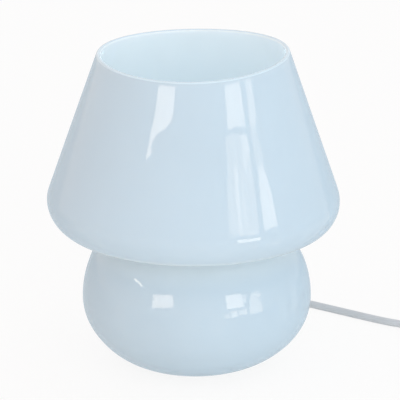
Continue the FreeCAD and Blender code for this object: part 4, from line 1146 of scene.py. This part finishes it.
SCREENS = (
    WhiteBand("shade_edge_band", 0.115, (0.104, 0.126), (-62.0, 8.0)),
    WhiteBand("shade_edge_band_right", 0.115, (0.104, 0.116), (8.0, 80.0)),
    WhiteBand("base_band", 0.2, (0.118, 0.148), (-85.0, 85.0)),
    WhiteFringe("left_fringe", -33.0),
    WhiteFringe("right_fringe", 44.0),
    WhiteFringe("side_fringe", 61.0, 0.135, (1.0,)),
)


# ---------------------------------------------------------------- studio
def level_square(size: float, height: float) -> list[Vector]:
    """The corners of a level square round the origin.

    Args:
        size: Its width.
        height: Its height.

    Returns:
        The corners.
    """
    half = size / 2.0
    ends = ((-half, -half), (half, -half), (half, half), (-half, half))
    return [Vector((across, along, height)) for across, along in ends]


@dataclass(frozen=True)
class Studio:
    """The pale floor, the light all round and the soft lamp.

    Attributes:
        floor_size: The floor's width.
        floor_colour: What the floor shows.
        floor_roughness: How matt it is.
        shadow_share: How much of the floor takes light and shadow, the rest being plain white.
        left_light: The light from the left.
        right_light: The light from the right.
        sideways: How far across the one turns into the other.
        level: How bright the light all round is.
        overhead: How many times brighter it is from straight above.
        upward: How far up the one turns into the other.
        card_size: The width of the grey card.
        card_height: How far it lies above the floor.
        card_colour: What the card shows in the glass.
        fill_place: Where the soft lamp hangs.
        fill_aim: What it faces.
        fill_size: Its width.
        fill_power: Its power, in watts.
    """

    floor_size: float = 30.0
    floor_colour: Colour = (0.98, 0.95, 0.91)
    floor_roughness: float = 0.9
    shadow_share: float = 0.12
    left_light: Colour = (0.94, 0.77, 0.70)
    right_light: Colour = (0.98, 1.05, 1.13)
    sideways: Range = (-0.9, 0.6)
    level: float = 0.75
    overhead: float = 1.2
    upward: Range = (0.45, 0.9)
    card_size: float = 4.0
    card_height: float = 0.0005
    card_colour: Colour = (0.62, 0.70, 0.76)
    fill_place: Place = (0.6, -2.2, 0.55)
    fill_aim: Place = (0.0, 0.0, 0.12)
    fill_size: float = 1.6
    fill_power: float = 14.0

    def seen_by(self, tree: Tree) -> Socket:
        """One for the rays that see the pale surroundings, nought for the rest.

        Args:
            tree: The nodes to add to.

        Returns:
            The output.
        """
        path = tree.nodes.new("ShaderNodeLightPath")
        first, *others = RayKind
        total = path.outputs[first.value]
        for kind in others:
            add = tree.nodes.new("ShaderNodeMath")
            add.operation = "ADD"
            add.use_clamp = True
            tree.links.new(total, add.inputs[0])
            tree.links.new(path.outputs[kind.value], add.inputs[1])
            total = add.outputs[0]
        return total

    def shown_white(self, tree: Tree, lit: Socket, kind: str, share: float) -> None:
        """Shows white instead of the lit surface to the rays that see the surroundings.

        Args:
            tree: The nodes of the floor or the world.
            lit: What the other rays find.
            kind: The plain shader that shows the white.
            share: How much of it is white.
        """
        white = tree.nodes.new(kind)
        white.inputs["Color"].default_value = (*WHITE, 1.0)
        part = tree.nodes.new("ShaderNodeMath")
        part.operation = "MULTIPLY"
        part.inputs[1].default_value = share
        tree.links.new(self.seen_by(tree), part.inputs[0])
        mix = tree.nodes.new("ShaderNodeMixShader")
        tree.links.new(part.outputs[0], mix.inputs[0])
        tree.links.new(lit, mix.inputs[1])
        tree.links.new(white.outputs[0], mix.inputs[2])
        output = next(node for node in tree.nodes if node.type.startswith("OUTPUT"))
        tree.links.new(mix.outputs["Shader"], output.inputs["Surface"])

    def floor(self) -> Piece:
        """Lays the floor: white to the eye and in reflections, but it keeps the shadow.

        Returns:
            The floor.
        """
        mesh = bpy.data.meshes.new("floor")
        mesh.from_pydata(level_square(self.floor_size, 0.0), [], [(0, 1, 2, 3)])
        floor = bpy.data.objects.new("floor", mesh)
        bpy.context.scene.collection.objects.link(floor)
        material = bpy.data.materials.new("pale_floor")
        material.use_nodes = True
        tree = material.node_tree
        shader = tree.nodes["Principled BSDF"]
        shader.inputs["Base Color"].default_value = (*self.floor_colour, 1.0)
        shader.inputs["Roughness"].default_value = self.floor_roughness
        self.shown_white(tree, shader.outputs["BSDF"], "ShaderNodeEmission", 1.0 - self.shadow_share)
        mesh.materials.append(material)
        return floor

    def table_card(self) -> Piece:
        """Lays the grey card that only the glass sees, so that its edges stay crisp."""
        corners = level_square(self.card_size, self.card_height)
        return gloss_card("table_card", corners, [(0, 1, 2, 3)], self.card_colour)

    def surroundings(self) -> bpy.types.World:
        """Lights the room from all sides, cooler from the right, behind a white backdrop.

        Returns:
            The world.
        """
        world = bpy.data.worlds.new("studio")
        bpy.context.scene.world = world
        world.use_nodes = True
        tree = world.node_tree
        room = tree.nodes["Background"]
        split = tree.nodes.new("ShaderNodeSeparateXYZ")
        place = tree.nodes.new("ShaderNodeTexCoord")
        tree.links.new(place.outputs["Generated"], split.inputs["Vector"])
        levels = (self.level, self.level * self.overhead)
        height = ramp(tree, split.outputs["Z"], self.upward, levels, Slope.EASED)
        tree.links.new(height, room.inputs["Strength"])
        share = ramp(tree, split.outputs["X"], self.sideways, (0.0, 1.0))
        mix = mixed(tree, share, self.left_light, self.right_light)
        tree.links.new(mix.outputs["Result"], room.inputs["Color"])
        self.shown_white(tree, room.outputs["Background"], "ShaderNodeBackground", 1.0)
        return world

    def soft_lamp(self) -> Piece:
        """Hangs the large square lamp that lights the front.

        Returns:
            The lamp.
        """
        data = bpy.data.lights.new("front_fill", "AREA")
        data.shape = "SQUARE"
        data.size = self.fill_size
        data.energy = self.fill_power
        lamp = bpy.data.objects.new("front_fill", data)
        place = Vector(self.fill_place)
        lamp.location = place
        lamp.rotation_mode = "QUATERNION"
        lamp.rotation_quaternion = (Vector(self.fill_aim) - place).to_track_quat("-Z", "Y")
        lamp.visible_glossy = False
        bpy.context.scene.collection.objects.link(lamp)
        return lamp

    def build(self) -> None:
        """Sets up the whole studio."""
        bpy.context.scene.view_settings.view_transform = "Standard"
        self.floor()
        self.table_card()
        self.surroundings()
        self.soft_lamp()
        for card in PANES + SCREENS:
            card.hang()
        LOG.info("set up the studio")


def dress_frame() -> None:
    """Gives every CAD piece that stays in sight its finish."""
    for finish, names in NODE_FINISHES.items():
        for name in names:
            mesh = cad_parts[name].data
            mesh.materials.clear()
            mesh.materials.append(finish.material())
            LOG.info("dressed %s", name)


def main() -> None:
    """Builds the camera, the lead, the fittings, the glass and the studio, in that order."""
    logging.basicConfig(level=logging.INFO, format="%(message)s")
    PhotographCamera().place()
    mains_lead = MainsLead()
    lead = mains_lead.build()
    on_lead = LeadFittings().build()
    OpalBody().build()
    dress_frame()
    Studio().build()


if __name__ == "__main__":
    main()
